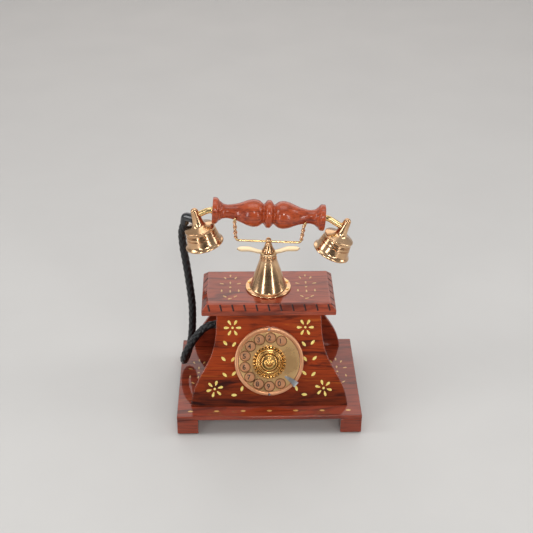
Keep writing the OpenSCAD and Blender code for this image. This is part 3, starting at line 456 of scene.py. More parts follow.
# %% Base board and feet
slots = [box_line(i * 8 - 1.5, -32, i * 8 + 1.5, -12) for i in range(-3, 4)]
SCREW_X, SCREW_YS, SCREW_R = 57, (-34, 48), 3.4
screw_holes = [oval(SCREW_R, at_=(x * SCREW_X, y), n=24) for x in (-1, 1) for y in SCREW_YS]
def outer_edge(e):
    m = (e.verts[0].co + e.verts[1].co) / 2
    return abs(m.x) > BASE_W / 2 - 0.2 or abs(m.y) > BASE_D / 2 - 0.2
bm = plate(box_line(-BASE_W / 2, -BASE_D / 2, BASE_W / 2, BASE_D / 2), slots + screw_holes,
           BASE_Z, CASE_Z, 1.0, outer_edge, 4)
made(bm, "base_board_finished", base_wood, "case", over=["base_board"],
     even=True)
bm = bmesh.new()
for x in (-1, 1):
    for y in (-1, 1):
        one = bmesh.new()
        bmesh.ops.create_cube(one, size=1)
        bmesh.ops.scale(one, vec=(FOOT[0], FOOT[0], FOOT[1]), verts=one.verts)
        bmesh.ops.bevel(one, geom=one.edges[:], offset=0.9, segments=3, profile=0.5, affect="EDGES",
                        material=-1)
        put_in(bm, one, at(x * (BASE_W - FOOT[0]) / 2, y * (BASE_D - FOOT[0]) / 2, FELT + FOOT[1] / 2))
made(bm, "feet_finished", base_wood, "case", over=["feet"], even=True)

# %% Front board
DIAL_UP, CAN_R, PANEL_ROUND = 57.7, 36.0, 1.8
bm = plate(board_line(SLANT, 8, 20), [oval(CAN_R + 0.4, at_=(0, DIAL_UP), n=72)], -PANEL_T, 0)
bm.transform(FACE)
for z, way in ((CASE_Z, -1), (PLATE_Z, 1)):
    cut = bmesh.ops.bisect_plane(bm, geom=bm.verts[:] + bm.edges[:] + bm.faces[:], dist=1e-4,
                                 plane_co=(0, 0, z), plane_no=(0, 0, way), clear_outer=True)["geom_cut"]
    bmesh.ops.edgeloop_fill(bm, edges=[e for e in cut if isinstance(e, bmesh.types.BMEdge)])
bmesh.ops.recalc_face_normals(bm, faces=bm.faces)
back = FACE.inverted()
edges = []
for e in bm.edges:
    if len(e.link_faces) == 2 and e.calc_face_angle(0) > radians(25):
        local = [back @ v.co for v in e.verts]
        if all((p.xy - Vector((0, DIAL_UP))).length > CAN_R + 2 for p in local):
            edges.append(e)
bmesh.ops.bevel(bm, geom=edges, offset=PANEL_ROUND, segments=5, profile=0.5, affect="EDGES", material=-1,
                clamp_overlap=True)
made(bm, "front_board_finished", panel_wood, "case", over=["front_panel"],
     even=True)

# %% Rear board
SOCKET = Vector((34, 16))
bm = plate(board_line(1.0), [oval(6.3, at_=SOCKET, n=40)], 0, REAR_T, 1.1,
           lambda e: ((e.verts[0].co + e.verts[1].co).xy / 2 - SOCKET).length > 8)
made(bm, "rear_board_finished", rear_wood, "case", at(0, REAR_Y, CASE_Z) @ tilt(90, "X"),
     over=["rear_board"], even=True)

# %% [markdown]
# ## The top plate
# A moulded plate closes the case: an upright lip, then a sloped border with short carved notches.
# It starts as one face that is extruded twice, the second time with a smaller top. The notches
# are cut with a boolean, as the carver's gouge would, after the edges are rounded.

# %% Top plate
# Near-black wood for the faces inside the notches: painted shade in the carved recesses.
notch_shade = wood("notch_painted_shade", 0, (0.02, 0.003, 0.002), (0.05, 0.008, 0.004), (0.09, 0.016, 0.008))
def push_up(bm, face, height, inward=0.0):
    """Extrude a face upwards, with its corners drawn inward, and give back the new top."""
    out = bmesh.ops.extrude_face_region(bm, geom=[face])["geom"]
    verts = [v for v in out if isinstance(v, bmesh.types.BMVert)]
    bmesh.ops.translate(bm, verts=verts, vec=(0, 0, height))
    for v in verts:
        v.co.x -= inward * (1 if v.co.x > 0 else -1)
        v.co.y -= inward * (1 if v.co.y > 0 else -1)
    return [f for f in out if isinstance(f, bmesh.types.BMFace)][0]
bm = bmesh.new()
corners = ((-1, -1), (1, -1), (1, 1), (-1, 1))
face = bm.faces.new([bm.verts.new((x * W / 2, y * D / 2, 0)) for x, y in corners])
face = push_up(bm, face, LIP)
face = push_up(bm, face, SLOPE_H, SLOPE_W)
bmesh.ops.recalc_face_normals(bm, faces=bm.faces)
bmesh.ops.bevel(bm, geom=bm.edges[:], offset=1.5, segments=4, profile=0.5, affect="EDGES",
                material=-1, clamp_overlap=True)
tools = bmesh.new()
NOTCH_R, NOTCH_PITCH, NOTCH_SLANT, STEM_HOLE_R = 1.3, 13.6, 14, 3.4
def gouge(length, out, turn_by):
    """One row of round cutters along a side of the plate, laid on its slope."""
    n = round((length - 10) / NOTCH_PITCH)
    for i in range(n):
        one = bmesh.new()
        bmesh.ops.create_cone(one, cap_ends=True, segments=20, radius1=NOTCH_R, radius2=NOTCH_R,
                              depth=SLOPE_W * 1.2)
        where = (tilt(turn_by, "Z")
                 @ at(out - SLOPE_W / 2, (i - (n - 1) / 2) * (length - 18) / (n - 1), LIP + SLOPE_H / 2)
                 @ tilt(degrees(atan2(SLOPE_H, SLOPE_W)), "Y") @ tilt(NOTCH_SLANT, "Z")
                 @ at(0, 0, 0.6) @ tilt(90, "Y"))
        put_in(tools, one, where)
for a in (0, 180):
    gouge(D, W / 2, a)
    gouge(W, D / 2, a + 90)
one = bmesh.new()
bmesh.ops.create_cone(one, cap_ends=True, segments=48, radius1=STEM_HOLE_R, radius2=STEM_HOLE_R,
                      depth=30)
put_in(tools, one, at(0, 0, 7))
def loose(source, name, index):
    """A mesh for the cut, in millimetres, with every face in one of two material slots."""
    mesh = bpy.data.meshes.new(name)
    source.to_mesh(mesh)
    source.free()
    for m in (top_wood, notch_shade):
        mesh.materials.append(m)
    for f in mesh.polygons:
        f.material_index = index
    ob = bpy.data.objects.new(name, mesh)
    scene.collection.objects.link(ob)
    return ob
blank, knife = loose(bm, "blank", 0), loose(tools, "knife", 1)
cut = blank.modifiers.new("notches", "BOOLEAN")
cut.operation, cut.object, cut.solver, cut.use_self = "DIFFERENCE", knife, "EXACT", True
bpy.context.view_layer.update()
bm = bmesh.new()
bm.from_mesh(blank.evaluated_get(bpy.context.evaluated_depsgraph_get()).to_mesh())
print("open edges after the cut", sum(not e.is_manifold for e in bm.edges),
      "faces in notches", sum(f.material_index for f in bm.faces))
for ob in (blank, knife):
    bpy.data.objects.remove(ob)
made(bm, "top_plate_finished", [top_wood, notch_shade], "case", at(0, PLATE_YC, PLATE_Z),
     over=["top_plate"], even=True)

# %% [markdown]
# ## The inlay
# Small petals and dots of brass sheet are let into the wood. Each one is a circle that is
# squeezed into a drop or a pointed oval and extruded. They stand a hair above the lacquer.

# %% Petals and flowers
SHEET, SUNK = 0.7, 0.6                  # thickness of the brass sheet, and how deep it is let in
LONG_R, ROUND_R = (11.2, 27), 7.3       # how far the petals stand from the middle of a flower
LONG_PETAL, ROUND_PETAL = (5.6, 2.6, 0.5), (6.6, 4.2, 0.6)     # length, width and how thin the tip
OVAL, SMALL_OVAL = (7, 3.4, 0), (6.4, 3.2, 0)
def petal(bm, length, width, tip, place):
    one = bmesh.new()
    bmesh.ops.create_circle(one, cap_ends=True, segments=20, radius=1)
    for v in one.verts:
        a = atan2(v.co.y, v.co.x)
        slim = (1 - tip * (1 - sin(a)) / 2) * (abs(cos(a)) ** 0.35 if tip == 0 else 1)
        v.co.x, v.co.y = width / 2 * cos(a) * slim, length / 2 * sin(a)
    up = bmesh.ops.extrude_face_region(one, geom=one.faces[:])["geom"]
    bmesh.ops.translate(one, verts=[v for v in up if isinstance(v, bmesh.types.BMVert)],
                        vec=(0, 0, SHEET))
    put_in(bm, one, place @ at(0, 0, -SUNK))
def dot(bm, place):
    one = bmesh.new()
    bmesh.ops.create_cone(one, cap_ends=True, segments=24, radius1=1.5, radius2=1.5, depth=SHEET)
    put_in(bm, one, place @ at(0, 0, -0.25))
def long_flower(bm, place):
    for a in range(0, 360, 36):
        x, y = LONG_R[0] * sin(radians(a)), LONG_R[1] * cos(radians(a))
        petal(bm, *LONG_PETAL, place @ at(x, y) @ tilt(-1.4 * degrees(atan2(x, y)), "Z"))
    for s in (-1, 1):
        petal(bm, *LONG_PETAL, place @ at(0, s * 10) @ tilt(0 if s > 0 else 180, "Z"))
    dot(bm, place)
def round_flower(bm, place):
    for a in range(30, 360, 60):
        petal(bm, *ROUND_PETAL, place @ tilt(a, "Z") @ at(0, ROUND_R))
    dot(bm, place)

# %% Inlay of the front, the top and the base
bm = bmesh.new()
for s in (-1, 1):
    for x, up, turn in ((44.8, 99.4, 0), (67.6, 22.6, -15)):
        round_flower(bm, FACE @ at(s * x, up) @ tilt(s * turn, "Z"))
    for x, up, slant in ((43, 78.6, -38), (54, 80.4, 38), (44.6, 59.8, -34), (56.4, 60.6, 44),
                         (43.6, 42, -44), (55, 40.4, 44), (43.6, 14.6, 92), (33.8, 22.6, -16)):
        petal(bm, *OVAL, FACE @ at(s * x, up) @ tilt(-s * slant, "Z"))
made(bm, "front_inlay_finished", inlay_gold, "case", over=["front_inlay"], even=True)
bm = bmesh.new()
for s in (-1, 1):
    long_flower(bm, at(s * ((W / 2 + FLANGE) / 2 - 8), PLATE_YC, TOP_Z))
made(bm, "top_inlay_finished", inlay_dull, "case", over=["top_inlay"], even=True)
bm = bmesh.new()
for i in range(-3, 4):
    petal(bm, *SMALL_OVAL, at(i * BASE_W / 7, -BASE_D / 2 + 11, CASE_Z) @ tilt(90, "Z"))
for s in (-1, 1):
    long_flower(bm, at(s * (BASE_W / 2 - 23.5), 8, CASE_Z))
made(bm, "base_inlay_finished", inlay_dull, "case", over=["base_inlay"], even=True)

# %% [markdown]
# ## The dial
# A turned ring holds the dial on the front board. The finger wheel is a flat disc with ten rimmed
# holes, and a fluted gilt hub sits on it. The digits lie on the card under the wheel. The wheel
# is filled from its outline and its holes in one go, then extruded.

# %% Ring, finger wheel and hub
DIAL = FACE @ at(0, DIAL_UP)
RING_R, RING_IN, WHEEL_R, HOLE_R, HOLE_RING = 42.5, 38.2, 37.3, 6.0, 30.4
RING_Z, WHEEL_Z, WHEEL_T, FIRST_HOLE, HOLE_STEP = 1.2, 7, 1.6, 60, 26.3
HOLES = [radians(FIRST_HOLE + HOLE_STEP * i) for i in range(10)]
profile = [(RING_IN, 0), (RING_R, 0), (RING_R, 5.2), (RING_R - 0.15, 5.65), (RING_R - 0.5, 6.0),
           (RING_R - 1.0, 6.2), (RING_IN + 1.0, 6.2), (RING_IN + 0.6, 6.0), (RING_IN + 0.5, 5.2),
           (RING_IN, 5.0)]
made(turned(profile, 128, True), "dial_ring_finished", ring_brass, "case", DIAL @ at(0, 0, RING_Z),
     over=["dial_ring"])
centres = [(HOLE_RING * cos(a), HOLE_RING * sin(a)) for a in HOLES]
bm = plate(oval(WHEEL_R, n=128), [oval(HOLE_R, at_=c, n=40) for c in centres], 0, WHEEL_T, 0.3,
           lambda e: all(v.co.xy.length > WHEEL_R - 0.1 for v in e.verts), 2)
for x, y in centres:
    rim = turned([(HOLE_R, 0.1), (HOLE_R + 0.85, 0.1), (HOLE_R + 0.8, 2.2), (HOLE_R + 0.5, 2.6),
                  (HOLE_R + 0.2, 2.55), (HOLE_R, 2.2)], 40, True)
    for f in rim.faces:
        f.material_index = 1
    put_in(bm, rim, at(x, y))
# The second finish, on the rims of the finger holes, is painted shade.
made(bm, "finger_wheel_finished", [wheel_brass, hole_rim_shade], "dial", DIAL @ at(0, 0, WHEEL_Z),
     over=["finger_wheel", "hole_rims"], even=True)
HUB_R, HUB_Z, FLUTES = 20.8, 8.6, 28
bm = turned([(0, 0), (HUB_R, 0), (HUB_R, 1.1), (HUB_R - 0.2, 1.8), (HUB_R - 0.6, 2.4), (HUB_R - 1.2, 2.8),
             (HUB_R - 1.9, 3.0), (HUB_R - 2.6, 2.9), (17.6, 2.5), (17.2, 2.0), (16.8, 1.6), (16.4, 2.4),
             (15.9, 3.0), (15.1, 3.1), (14.7, 2.5), (14.3, 2.5), (14.0, 3.2), (12.9, 3.7), (11.6, 3.3),
             (11.2, 2.6), (10.6, 2.6), (10.2, 3.4), (9.8, 4.2), (8.6, 4.5), (6.4, 4.3), (5, 4.8),
             (4.2, 5.7), (3.4, 6.7), (2.4, 7.7), (1.2, 8.4), (0, 8.6)], FLUTES * 8)
GROOVED = ((16.6, 17.2), (14.3, 14.7), (10.6, 11.2))           # radii where the patina has stayed
def flute(v):
    """How deep in a flute a point of the rim lies, from 0 to 1."""
    outward = min(1.0, max(0.0, (v.co.xy.length - 17.0) / 1.0))
    return max(0.0, cos(FLUTES * atan2(v.co.y, v.co.x))) * outward
for f in bm.faces:
    r = f.calc_center_median().xy.length
    low = sum(flute(v) for v in f.verts) / len(f.verts) > 0.6
    f.material_index = int(low or any(a < r < b for a, b in GROOVED))
for v in bm.verts:
    dip = flute(v)
    v.co.xy = v.co.xy * (1 - 0.05 * dip)
    v.co.z -= 1.5 * dip * min(1, max(0, v.co.z - 0.4))
made(bm, "dial_hub_finished", [gilt, groove], "dial", DIAL @ at(0, 0, HUB_Z), over=["dial_hub"],
     angle=50)

# %% Digits on the card, and the finger stop
CARD_Z, DIGIT = 2.66, 8.6               # height of the card's face, and the size of a digit
bm = bmesh.new()
for digit, a in zip("1234567890", HOLES):
    text = bpy.data.curves.new("digit", "FONT")
    text.body, text.size, text.extrude, text.offset = digit, DIGIT, 0.08, 0.14
    text.align_x, text.align_y = "CENTER", "CENTER"
    ob = bpy.data.objects.new("digit", text)
    scene.collection.objects.link(ob)
    one = bmesh.new()
    one.from_mesh(ob.evaluated_get(bpy.context.evaluated_depsgraph_get()).to_mesh())
    bpy.data.objects.remove(ob)
    put_in(bm, one, at(HOLE_RING * cos(a) - 1.2, HOLE_RING * sin(a) - 1.6, CARD_Z))
made(bm, "dial_digits", ink, "case", DIAL)
bm = bmesh.new()
bmesh.ops.create_grid(bm, x_segments=14, y_segments=4, size=1)
STOP_IN, STOP_OUT, STOP_Z, STOP_LEG, BENT = HOLE_RING - 4.4, RING_R + 1.3, 11.3, 9.2, 0.78
for v in bm.verts:                         # flat up to the bend, then down outside the ring
    t, side = (v.co.x + 1) / 2, v.co.y
    wide = 1.0 + 2.9 * min(1, t * 1.25) ** 0.8
    flat = min(1, t / BENT)
    x = STOP_IN + (STOP_OUT - STOP_IN) * flat
    z = STOP_Z + 0.9 * sin(pi * flat) - max(0, t - BENT) / (1 - BENT) * STOP_LEG
    v.co = Vector((x, side * wide + 1.5 * sin(pi * t), z))
bmesh.ops.solidify(bm, geom=bm.faces[:], thickness=1.1)
made(bm, "finger_stop_finished", steel, "case", DIAL @ tilt(-42, "Z"), over=["finger_stop"],
     angle=50)

# %% [markdown]
# ## The tower
# A hollow brass cone stands on a flange, with a collar, two flat wings, and a bell-shaped cap on
# the plunger that the cradle hangs from. Everything round is turned; each wing is a bent grid.

# %% Cone, collar, cap and wings
def tower(z):
    return at(0, PLATE_YC, z)
profile = [(FLANGE - 8.6, 0), (FLANGE - 0.6, 0), (FLANGE, 0.6), (FLANGE, 1.6), (FLANGE - 0.5, 2.2),
           (FLANGE - 1.2, 2.4), (FLANGE - 4.8, 2.4), (FLANGE - 5.6, 2.9), (FLANGE - 6.2, 3.9),
           (CONE_TOP + 0.6, CONE_H - 2.2), (CONE_TOP + 0.9, CONE_H - 1.5), (CONE_TOP + 0.7, CONE_H),
           (CONE_TOP - 1.4, CONE_H), (CONE_TOP - 1.4, CONE_H - 2), (FLANGE - 8.6, 2)]
made(turned(profile, 128, True, 0.15), "tower_cone_finished", turned_brass, "case", tower(TOP_Z),
     over=["tower_cone"])
COLLAR_Z = TOP_Z + CONE_H
COLLAR_H = 5
profile = [(3.05, 0), (CONE_TOP + 0.2, 0), (CONE_TOP + 0.4, 0.5), (CONE_TOP + 0.2, 1.1),
           (CONE_TOP - 0.8, 1.8), (CONE_TOP - 0.9, 3.0), (CONE_TOP + 0.1, 3.8), (CONE_TOP + 0.4, 4.3),
           (CONE_TOP, COLLAR_H), (3.05, COLLAR_H)]
made(turned(profile, 96, True, 0.1), "tower_collar_finished", turned_brass, "case", tower(COLLAR_Z),
     over=["tower_collar"])
CAP_Z = COLLAR_Z + 8
profile = [(0, 0), (7.9, 0), (8.3, 0.5), (8.2, 1.2), (7.5, 2.2), (6.4, 4.2), (5.5, 6), (4.8, 8),
           (4.3, 9.6), (4.3, 10.3), (3.6, 10.9), (3.0, 11.8), (2.9, 12.4)]
BALL_R, BALL_Z = 3.6, 15.4
profile += [(BALL_R * cos(radians(a)), BALL_Z + BALL_R * sin(radians(a))) for a in range(-48, 90, 12)]
profile += [(0, BALL_Z + BALL_R)]
made(turned(profile, 72), "plunger_cap_finished", turned_brass, "cradle", tower(CAP_Z),
     over=["plunger_cap"], angle=50)
WING, WING_W, WING_NECK, WING_T, WING_LIFT = 37.3, 10.0, 3.6, 1.5, 4.2
bm = bmesh.new()
for s in (-1, 1):
    one = bmesh.new()
    bmesh.ops.create_grid(one, x_segments=40, y_segments=8, size=1)
    for v in one.verts:
        x = 6 + (WING - 6.01) * (1 - (1 - (v.co.x + 1) / 2) ** 1.6)
        wide = WING_NECK + (WING_W / 2 - WING_NECK) * min(1, max(0, (x - 10) / 16))
        tip = x - (WING - WING_W / 2)
        if tip > 0:
            wide = sqrt(max(0.01, (WING_W / 2) ** 2 - tip * tip))
        lift = WING_LIFT * (1 - cos(pi * min(1, max(0, (x - 8) / 18)))) / 2
        v.co = Vector((s * x, v.co.y * wide, lift + 1.7 - 0.5 * v.co.y ** 2))
    bmesh.ops.recalc_face_normals(one, faces=one.faces)
    upward = one.faces[:][0].normal.z > 0
    bmesh.ops.solidify(one, geom=one.faces[:], thickness=-WING_T if upward else WING_T)
    put_in(bm, one, Matrix())
put_in(bm, turned([(3.4, 0), (9.2, 0), (9.2, 1.6), (8.8, 2), (3.4, 2)], 64, True), Matrix())
made(bm, "wings_finished", cream_brass, "case", tower(COLLAR_Z + COLLAR_H), over=["wings"],
     angle=50)

# %% [markdown]
# ## The cradle
# A thin rod crosses the cap, turns up at both ends into twisted risers, and ends in two forks that
# the handle lies in. The riser is one slim circle that is extruded in small steps and turned a
# little at each, as a smith twists a bar. The sizes follow the handle's own outline.

# %% Cradle
HANDLE_Z, HAND_ROLL, HANDLE_HALF = 249.4, 4.65, 67.6
HANDSET = tower(HANDLE_Z) @ tilt(HAND_ROLL)
HANDLE = [(0, 16.9), (2.1, 16.6), (4, 14.6), (5.5, 12.5), (6.8, 12), (8.6, 13.4), (12, 15.7),
          (16.2, 16.6), (20, 16.5), (25.8, 15.1), (31.5, 12.8), (37.2, 10.6), (43, 9.2), (48, 8.4),
          (51.5, 8.4), (55.5, 9.4), (57.4, 10.8), (58, 11.6), (58.8, 11.6), (59.3, 12.1), (60.4, 13.6),
          (61.8, 15.2), (63.4, 15.9), (66.4, 15.9), (67.2, 15.6), (HANDLE_HALF, 15)]
def handle_r(u):
    for (a, ra), (b, rb) in zip(HANDLE, HANDLE[1:]):
        if a <= abs(u) <= b:
            return ra + (rb - ra) * (abs(u) - a) / (b - a)
BAR_Z, BAR_HALF, WIRE, BEND, BAR_LEAN, BAR_ROLL, PRONG = CAP_Z + 13.6, 36.0, 1.4, 4.0, 6.0, 2.8, 1.5
RISER, TWIST, STEPS = 21, 540, 44       # a riser's rough length, its twist and the steps it takes
FORK_OPEN = 70                          # a fork reaches this far round the handle on either side
CRADLE = tower(BAR_Z) @ tilt(BAR_ROLL)
arc = [(BAR_HALF + BEND * sin(radians(a)), 0, BEND - BEND * cos(radians(a))) for a in range(0, 85, 7)]
bm = rod([(-x, y, z) for x, y, z in reversed(arc)] + arc, WIRE)
made(bm, "cradle_bar_finished", gilt_wire, "cradle", CRADLE, over=["cradle_bar"])
RISE_X, RISE_Z = BAR_HALF + BEND * cos(radians(BAR_LEAN)), BEND - BEND * sin(radians(BAR_LEAN))
ROLL_COS = cos(radians(HAND_ROLL))
risers, forks = bmesh.new(), bmesh.new()
for s in (-1, 1):
    x = (s * (RISE_X + RISER * sin(radians(BAR_LEAN))) * cos(radians(BAR_ROLL))
         + RISER * sin(radians(BAR_ROLL)))
    fork = handle_r(abs(x) / ROLL_COS - 2) + 0.3
    top = HANDLE_Z - x * sin(radians(HAND_ROLL)) / ROLL_COS - fork / ROLL_COS - 2 * PRONG
    foot = BAR_Z - s * RISE_X * sin(radians(BAR_ROLL)) + RISE_Z * cos(radians(BAR_ROLL))
    length = (top - foot) / cos(radians(BAR_LEAN + s * BAR_ROLL))
    one = bmesh.new()
    bmesh.ops.create_circle(one, cap_ends=True, segments=20, radius=1)
    for v in one.verts:
        a = atan2(v.co.y, v.co.x)
        v.co.xy = v.co.xy * (1.9 + 0.6 * cos(2 * a))
    face = one.faces[:][0]
    for k in range(STEPS):
        out = bmesh.ops.extrude_face_region(one, geom=[face])["geom"]
        face = [f for f in out if isinstance(f, bmesh.types.BMFace)][0]
        verts = list(face.verts)
        bmesh.ops.translate(one, verts=verts, vec=(0, 0, length / STEPS))
        bmesh.ops.rotate(one, verts=verts, cent=(0, 0, 0),
                         matrix=Matrix.Rotation(radians(-TWIST / STEPS), 3, "Z"))
    inner = [f for f in one.faces
             if abs(f.normal.z) > 0.99 and 0.1 < f.calc_center_median().z < length - 0.1]
    bmesh.ops.delete(one, geom=inner, context="FACES_ONLY")
    put_in(risers, one, CRADLE @ at(s * RISE_X, 0, RISE_Z) @ tilt(s * BAR_LEAN))
    base = at(x, PLATE_YC, top) @ tilt(HAND_ROLL)
    mid = fork + 2 * PRONG - 0.05
    reach = fork + PRONG
    loop = [(0, reach * sin(radians(a)), mid - reach * cos(radians(a)))
            for a in range(-FORK_OPEN, FORK_OPEN + 1, 5)]
    put_in(forks, rod(loop, PRONG, lambda t: 0.82 + 0.18 * sin(pi * t)), base)
    put_in(forks, turned([(0, 0), (2, 0), (2, 0.9), (1.5, 1.5), (0, 1.5)], 32), base)
    for q in (-1, 1):
        ball = bmesh.new()
        bmesh.ops.create_uvsphere(ball, u_segments=24, v_segments=14, radius=PRONG + 0.25)
        put_in(forks, ball, base @ at(0, q * loop[-1][1], loop[-1][2]))
made(risers, "cradle_risers_finished", plain_brass, "cradle", over=["cradle_risers"],
     angle=60)
made(forks, "cradle_forks_finished", gilt_wire, "cradle", over=["cradle_forks"],
     angle=60)

# %% [markdown]
# ## The handset
# The handle is turned from one piece of wood with two swellings and a bead in the middle. Gilt
# tubes lead into a bell-shaped brass cup at each end, whose grooves have gone dark.

# %% Handle and tubes
side = soft_line([(u, r, 0) for u, r in HANDLE], 4)
profile = ([(0, -HANDLE_HALF)] + [(p.y, -p.x) for p in reversed(side[1:])] + [(p.y, p.x) for p in side]
           + [(0, HANDLE_HALF)])
made(turned(profile, 96), "handle_finished", handle_wood, "handset", HANDSET @ tilt(90),
     over=["handle"], angle=55)
TUBE_R, TUBE_BEND, TUBE_DROP, TUBE_IN = 3.6, 16.0, 30, 9
LEFT_SEAT, RIGHT_SEAT = 8.2, 14.8       # straight length from the bend into each cup
arc = [(HANDLE_HALF + TUBE_BEND * sin(radians(a)), 0, -TUBE_BEND * (1 - cos(radians(a))))
       for a in range(0, TUBE_DROP + 1, 3)]
drop = Vector((cos(radians(TUBE_DROP)), 0, -sin(radians(TUBE_DROP))))
for name, s, seat in (("tube_left", -1, LEFT_SEAT), ("tube_right", 1, RIGHT_SEAT)):
    tube = [(HANDLE_HALF - TUBE_IN, 0, 0)] + arc + [tuple(Vector(arc[-1]) + seat * drop)]
    bm = rod([(s * x, y, z) for x, y, z in tube], TUBE_R, sides=8)
    put_in(bm, turned([(3.5, 0), (5.2, 0), (5.2, 0.6), (4.4, 1.3), (3.5, 1.3)], 48, True),
           at(s * 67.4, 0, 0) @ tilt(s * 90))
    made(bm, name + "_finished", gilt_wire, "handset", HANDSET, over=[name])

# %% Cups
SHOULDER, MOUTH, RISE, KNOB_TOP, KNOB_H, WALL = 18.8, 23.8, 4.5, 4.68, 26.8, 1.4
CUP_DROP, CUP_TILT, LEFT_OUT, RIGHT_OUT = -24.6, 19, 81.6, 88.4    # place of each cup on the handle
GROOVES = (-4.4, -5.6, -6.8, -9.4, -10.6)
cup = [(0, KNOB_H)] + [(KNOB_TOP * cos(radians(a)), KNOB_H - KNOB_TOP + KNOB_TOP * sin(radians(a)))
                       for a in range(80, -1, -10)]
cup += [(5.6, RISE + 11), (6.5, RISE + 5), (7.0, RISE + 3), (7.8, RISE + 1), (8.9, RISE - 0.3),
        (10.4, RISE - 1.15), (SHOULDER - 0.9, 0.75), (SHOULDER - 0.2, 0.3), (SHOULDER, -0.2),
        (SHOULDER, -1.1), (SHOULDER - 0.4, -1.8), (SHOULDER - 0.8, -2.4), (SHOULDER - 0.7, -3.4)]
for z in GROOVES:
    r = SHOULDER - 0.7 + (-z - 3.4) * 0.2
    cup += [(r, z + 0.3), (r - 0.35, z + 0.18), (r - 0.35, z - 0.18), (r, z - 0.3)]
cup += [(SHOULDER + 2.0, -17.2), (SHOULDER + 2.4, -18.4), (SHOULDER + 3.2, -19.5),
        (MOUTH - 0.9, -20.4), (MOUTH - 0.2, -21.2), (MOUTH, -22.0), (MOUTH - 0.1, -22.7),
        (MOUTH - 0.5, -23), (MOUTH - 1.8, -23), (MOUTH - 2.2, -22), (SHOULDER + 1.3, -18.6),
        (SHOULDER + 0.2, -17), (SHOULDER - WALL, -14), (SHOULDER - 1 - WALL, -2.6),
        (6, RISE - WALL - 0.4), (0, RISE - WALL - 0.4)]
for name, s, out in (("cup_left", -1, LEFT_OUT), ("cup_right", 1, RIGHT_OUT)):
    bm = turned(cup, 112)
    for f in bm.faces:
        f.material_index = int(min(abs(f.calc_center_median().z - z) for z in GROOVES) < 0.1)
    made(bm, name + "_finished", [turned_brass, groove], "handset",
         HANDSET @ at(s * out, 0, CUP_DROP) @ tilt(s * CUP_TILT), over=[name],
         angle=48)

# %% Elbow that the cord hangs from
ELBOW = [(-89.6, 30.6, 241.5), (-92.8, 32.9, 241.5), (-95.7, 35.1, 241.5), (-98.2, 36.9, 241.3),
         (-99.9, 38.2, 240.4), (-100.8, 38.9, 238.9), (-101.2, 39.3, 236.6), (-101.6, 39.8, 234.2),
         (-102, 40.2, 231.6)]
bm = rod(soft_line(ELBOW, 4), 5.4, sides=8)
made(bm, "cord_elbow_finished", black_plastic, "handset", over=["handset_gland"],
     angle=50)

# %% [markdown]
# ## The parts kept from the model
# Flat walls, screws, springs and everything inside the case already have the right shape. Their
# meshes stay as they are and only get a finish.

# %% Finishes of the kept parts
kept = {
    side_wood: ["side_wall_left", "side_wall_right"], felt: ["felt_pads"], card: ["number_plate"],
    zinc: ["bottom_cover", "dial_seat", "ringer_frame", "hook_bracket", "transmitter", "receiver"],
    steel: ["cover_screws", "case_screws", "ring_screws", "dial_shaft", "mainspring", "plunger",
            "plunger_spring", "hook_lever"],
    gilt_wire: ["tower_screws"], copper: ["impulse_contacts", "hook_contacts", "ringer_coils"],
    plain_brass: ["dial_gear", "governor", "gongs", "clapper"],
    black_plastic: ["terminal_block", "line_jack", "case_gland", "mouth_grille", "ear_grille"],
}
for material, names in kept.items():
    for name in names:
        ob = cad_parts[name]
        if not ob.material_slots:
            ob.data.materials.append(material)
        for slot in ob.material_slots:
            slot.material = material
print("kept", sum(len(v) for v in kept.values()), "parts")

# %% [markdown]
# ## Floor and light
# A pale floor and large soft lights, as in a studio. Gloss needs something to mirror: a bright
# sheet behind lays a haze on the level surfaces, and narrow side lights draw lines on the brass.

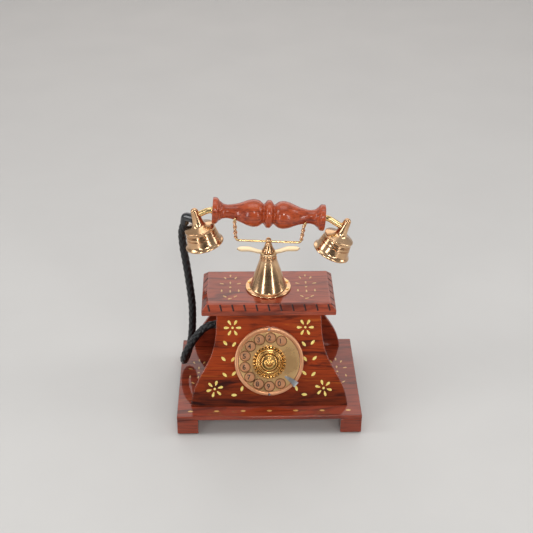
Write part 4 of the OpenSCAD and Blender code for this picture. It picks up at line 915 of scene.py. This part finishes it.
# %% Floor, lights and surroundings
bm = bmesh.new()
bmesh.ops.create_grid(bm, x_segments=2, y_segments=2, size=3.0)
floor = bpy.data.objects.new("studio_floor", bpy.data.meshes.new("studio_floor"))
bm.to_mesh(floor.data)
bm.free()
scene.collection.objects.link(floor)
floor.data.materials.append(plain("pale_floor", (0.6, 0.59, 0.57), 0.6, 6.0, 0.02, 0.96))
def lamp(name, where, aim, size, watts, colour=(1, 1, 1)):
    data = bpy.data.lights.new(name, "AREA")
    data.shape, data.size, data.size_y = "RECTANGLE", size[0], size[1]
    data.energy, data.color = watts, colour
    ob = bpy.data.objects.new(name, data)
    scene.collection.objects.link(ob)
    look = (Vector(aim) - Vector(where)).to_track_quat("-Z", "Y")
    ob.matrix_world = Matrix.Translation(where) @ look.to_matrix().to_4x4()
MID = (0, 0, 0.14)
lamp("key", (0.1, -1.3, 1.1), MID, (0.24, 0.2), 5.0, (1, 0.97, 0.93))
lamp("strip_left", (-0.85, -1.2, 0.5), MID, (0.16, 0.9), 4.5)
lamp("strip_right", (0.8, -1.2, 0.5), MID, (0.12, 0.9), 3.5)
lamp("left_window", (-1.5, -0.2, 0.9), MID, (0.5, 1.2), 8.0)
lamp("right_window", (1.5, 0.0, 0.8), MID, (0.4, 1.2), 6.5)
lamp("overhead", (0, 0.1, 1.9), MID, (1.5, 1.0), 8.0)
lamp("back_sheet", (0, 2.0, 1.25), (0, 0, 0.1), (3.2, 1.3), 14.0, (1, 0.9, 0.84))
world = bpy.data.worlds.new("studio")
scene.world = world
world.use_nodes = True
t = world.node_tree
spot = t.nodes.new("ShaderNodeTexCoord")
parts = t.nodes.new("ShaderNodeSeparateXYZ")
t.links.new(spot.outputs["Generated"], parts.inputs["Vector"])
def sum_of(a, b, scale):
    """a times scale, plus b, where b is a socket or a number."""
    n = t.nodes.new("ShaderNodeMath")
    n.operation = "MULTIPLY_ADD"
    t.links.new(a, n.inputs[0])
    n.inputs[1].default_value = scale
    if hasattr(b, "default_value"):
        t.links.new(b, n.inputs[2])
    else:
        n.inputs[2].default_value = b
    return n.outputs[0]
EVEN, MORE_BEHIND, MORE_ABOVE = 0.26, 0.22, 0.18
behind = sum_of(parts.outputs["Y"], EVEN, MORE_BEHIND)
strength = sum_of(parts.outputs["Z"], behind, MORE_ABOVE)
t.links.new(strength, t.nodes["Background"].inputs["Strength"])
t.nodes["Background"].inputs["Color"].default_value = (0.95, 0.97, 1.0, 1)
scene.view_settings.view_transform = "Standard"
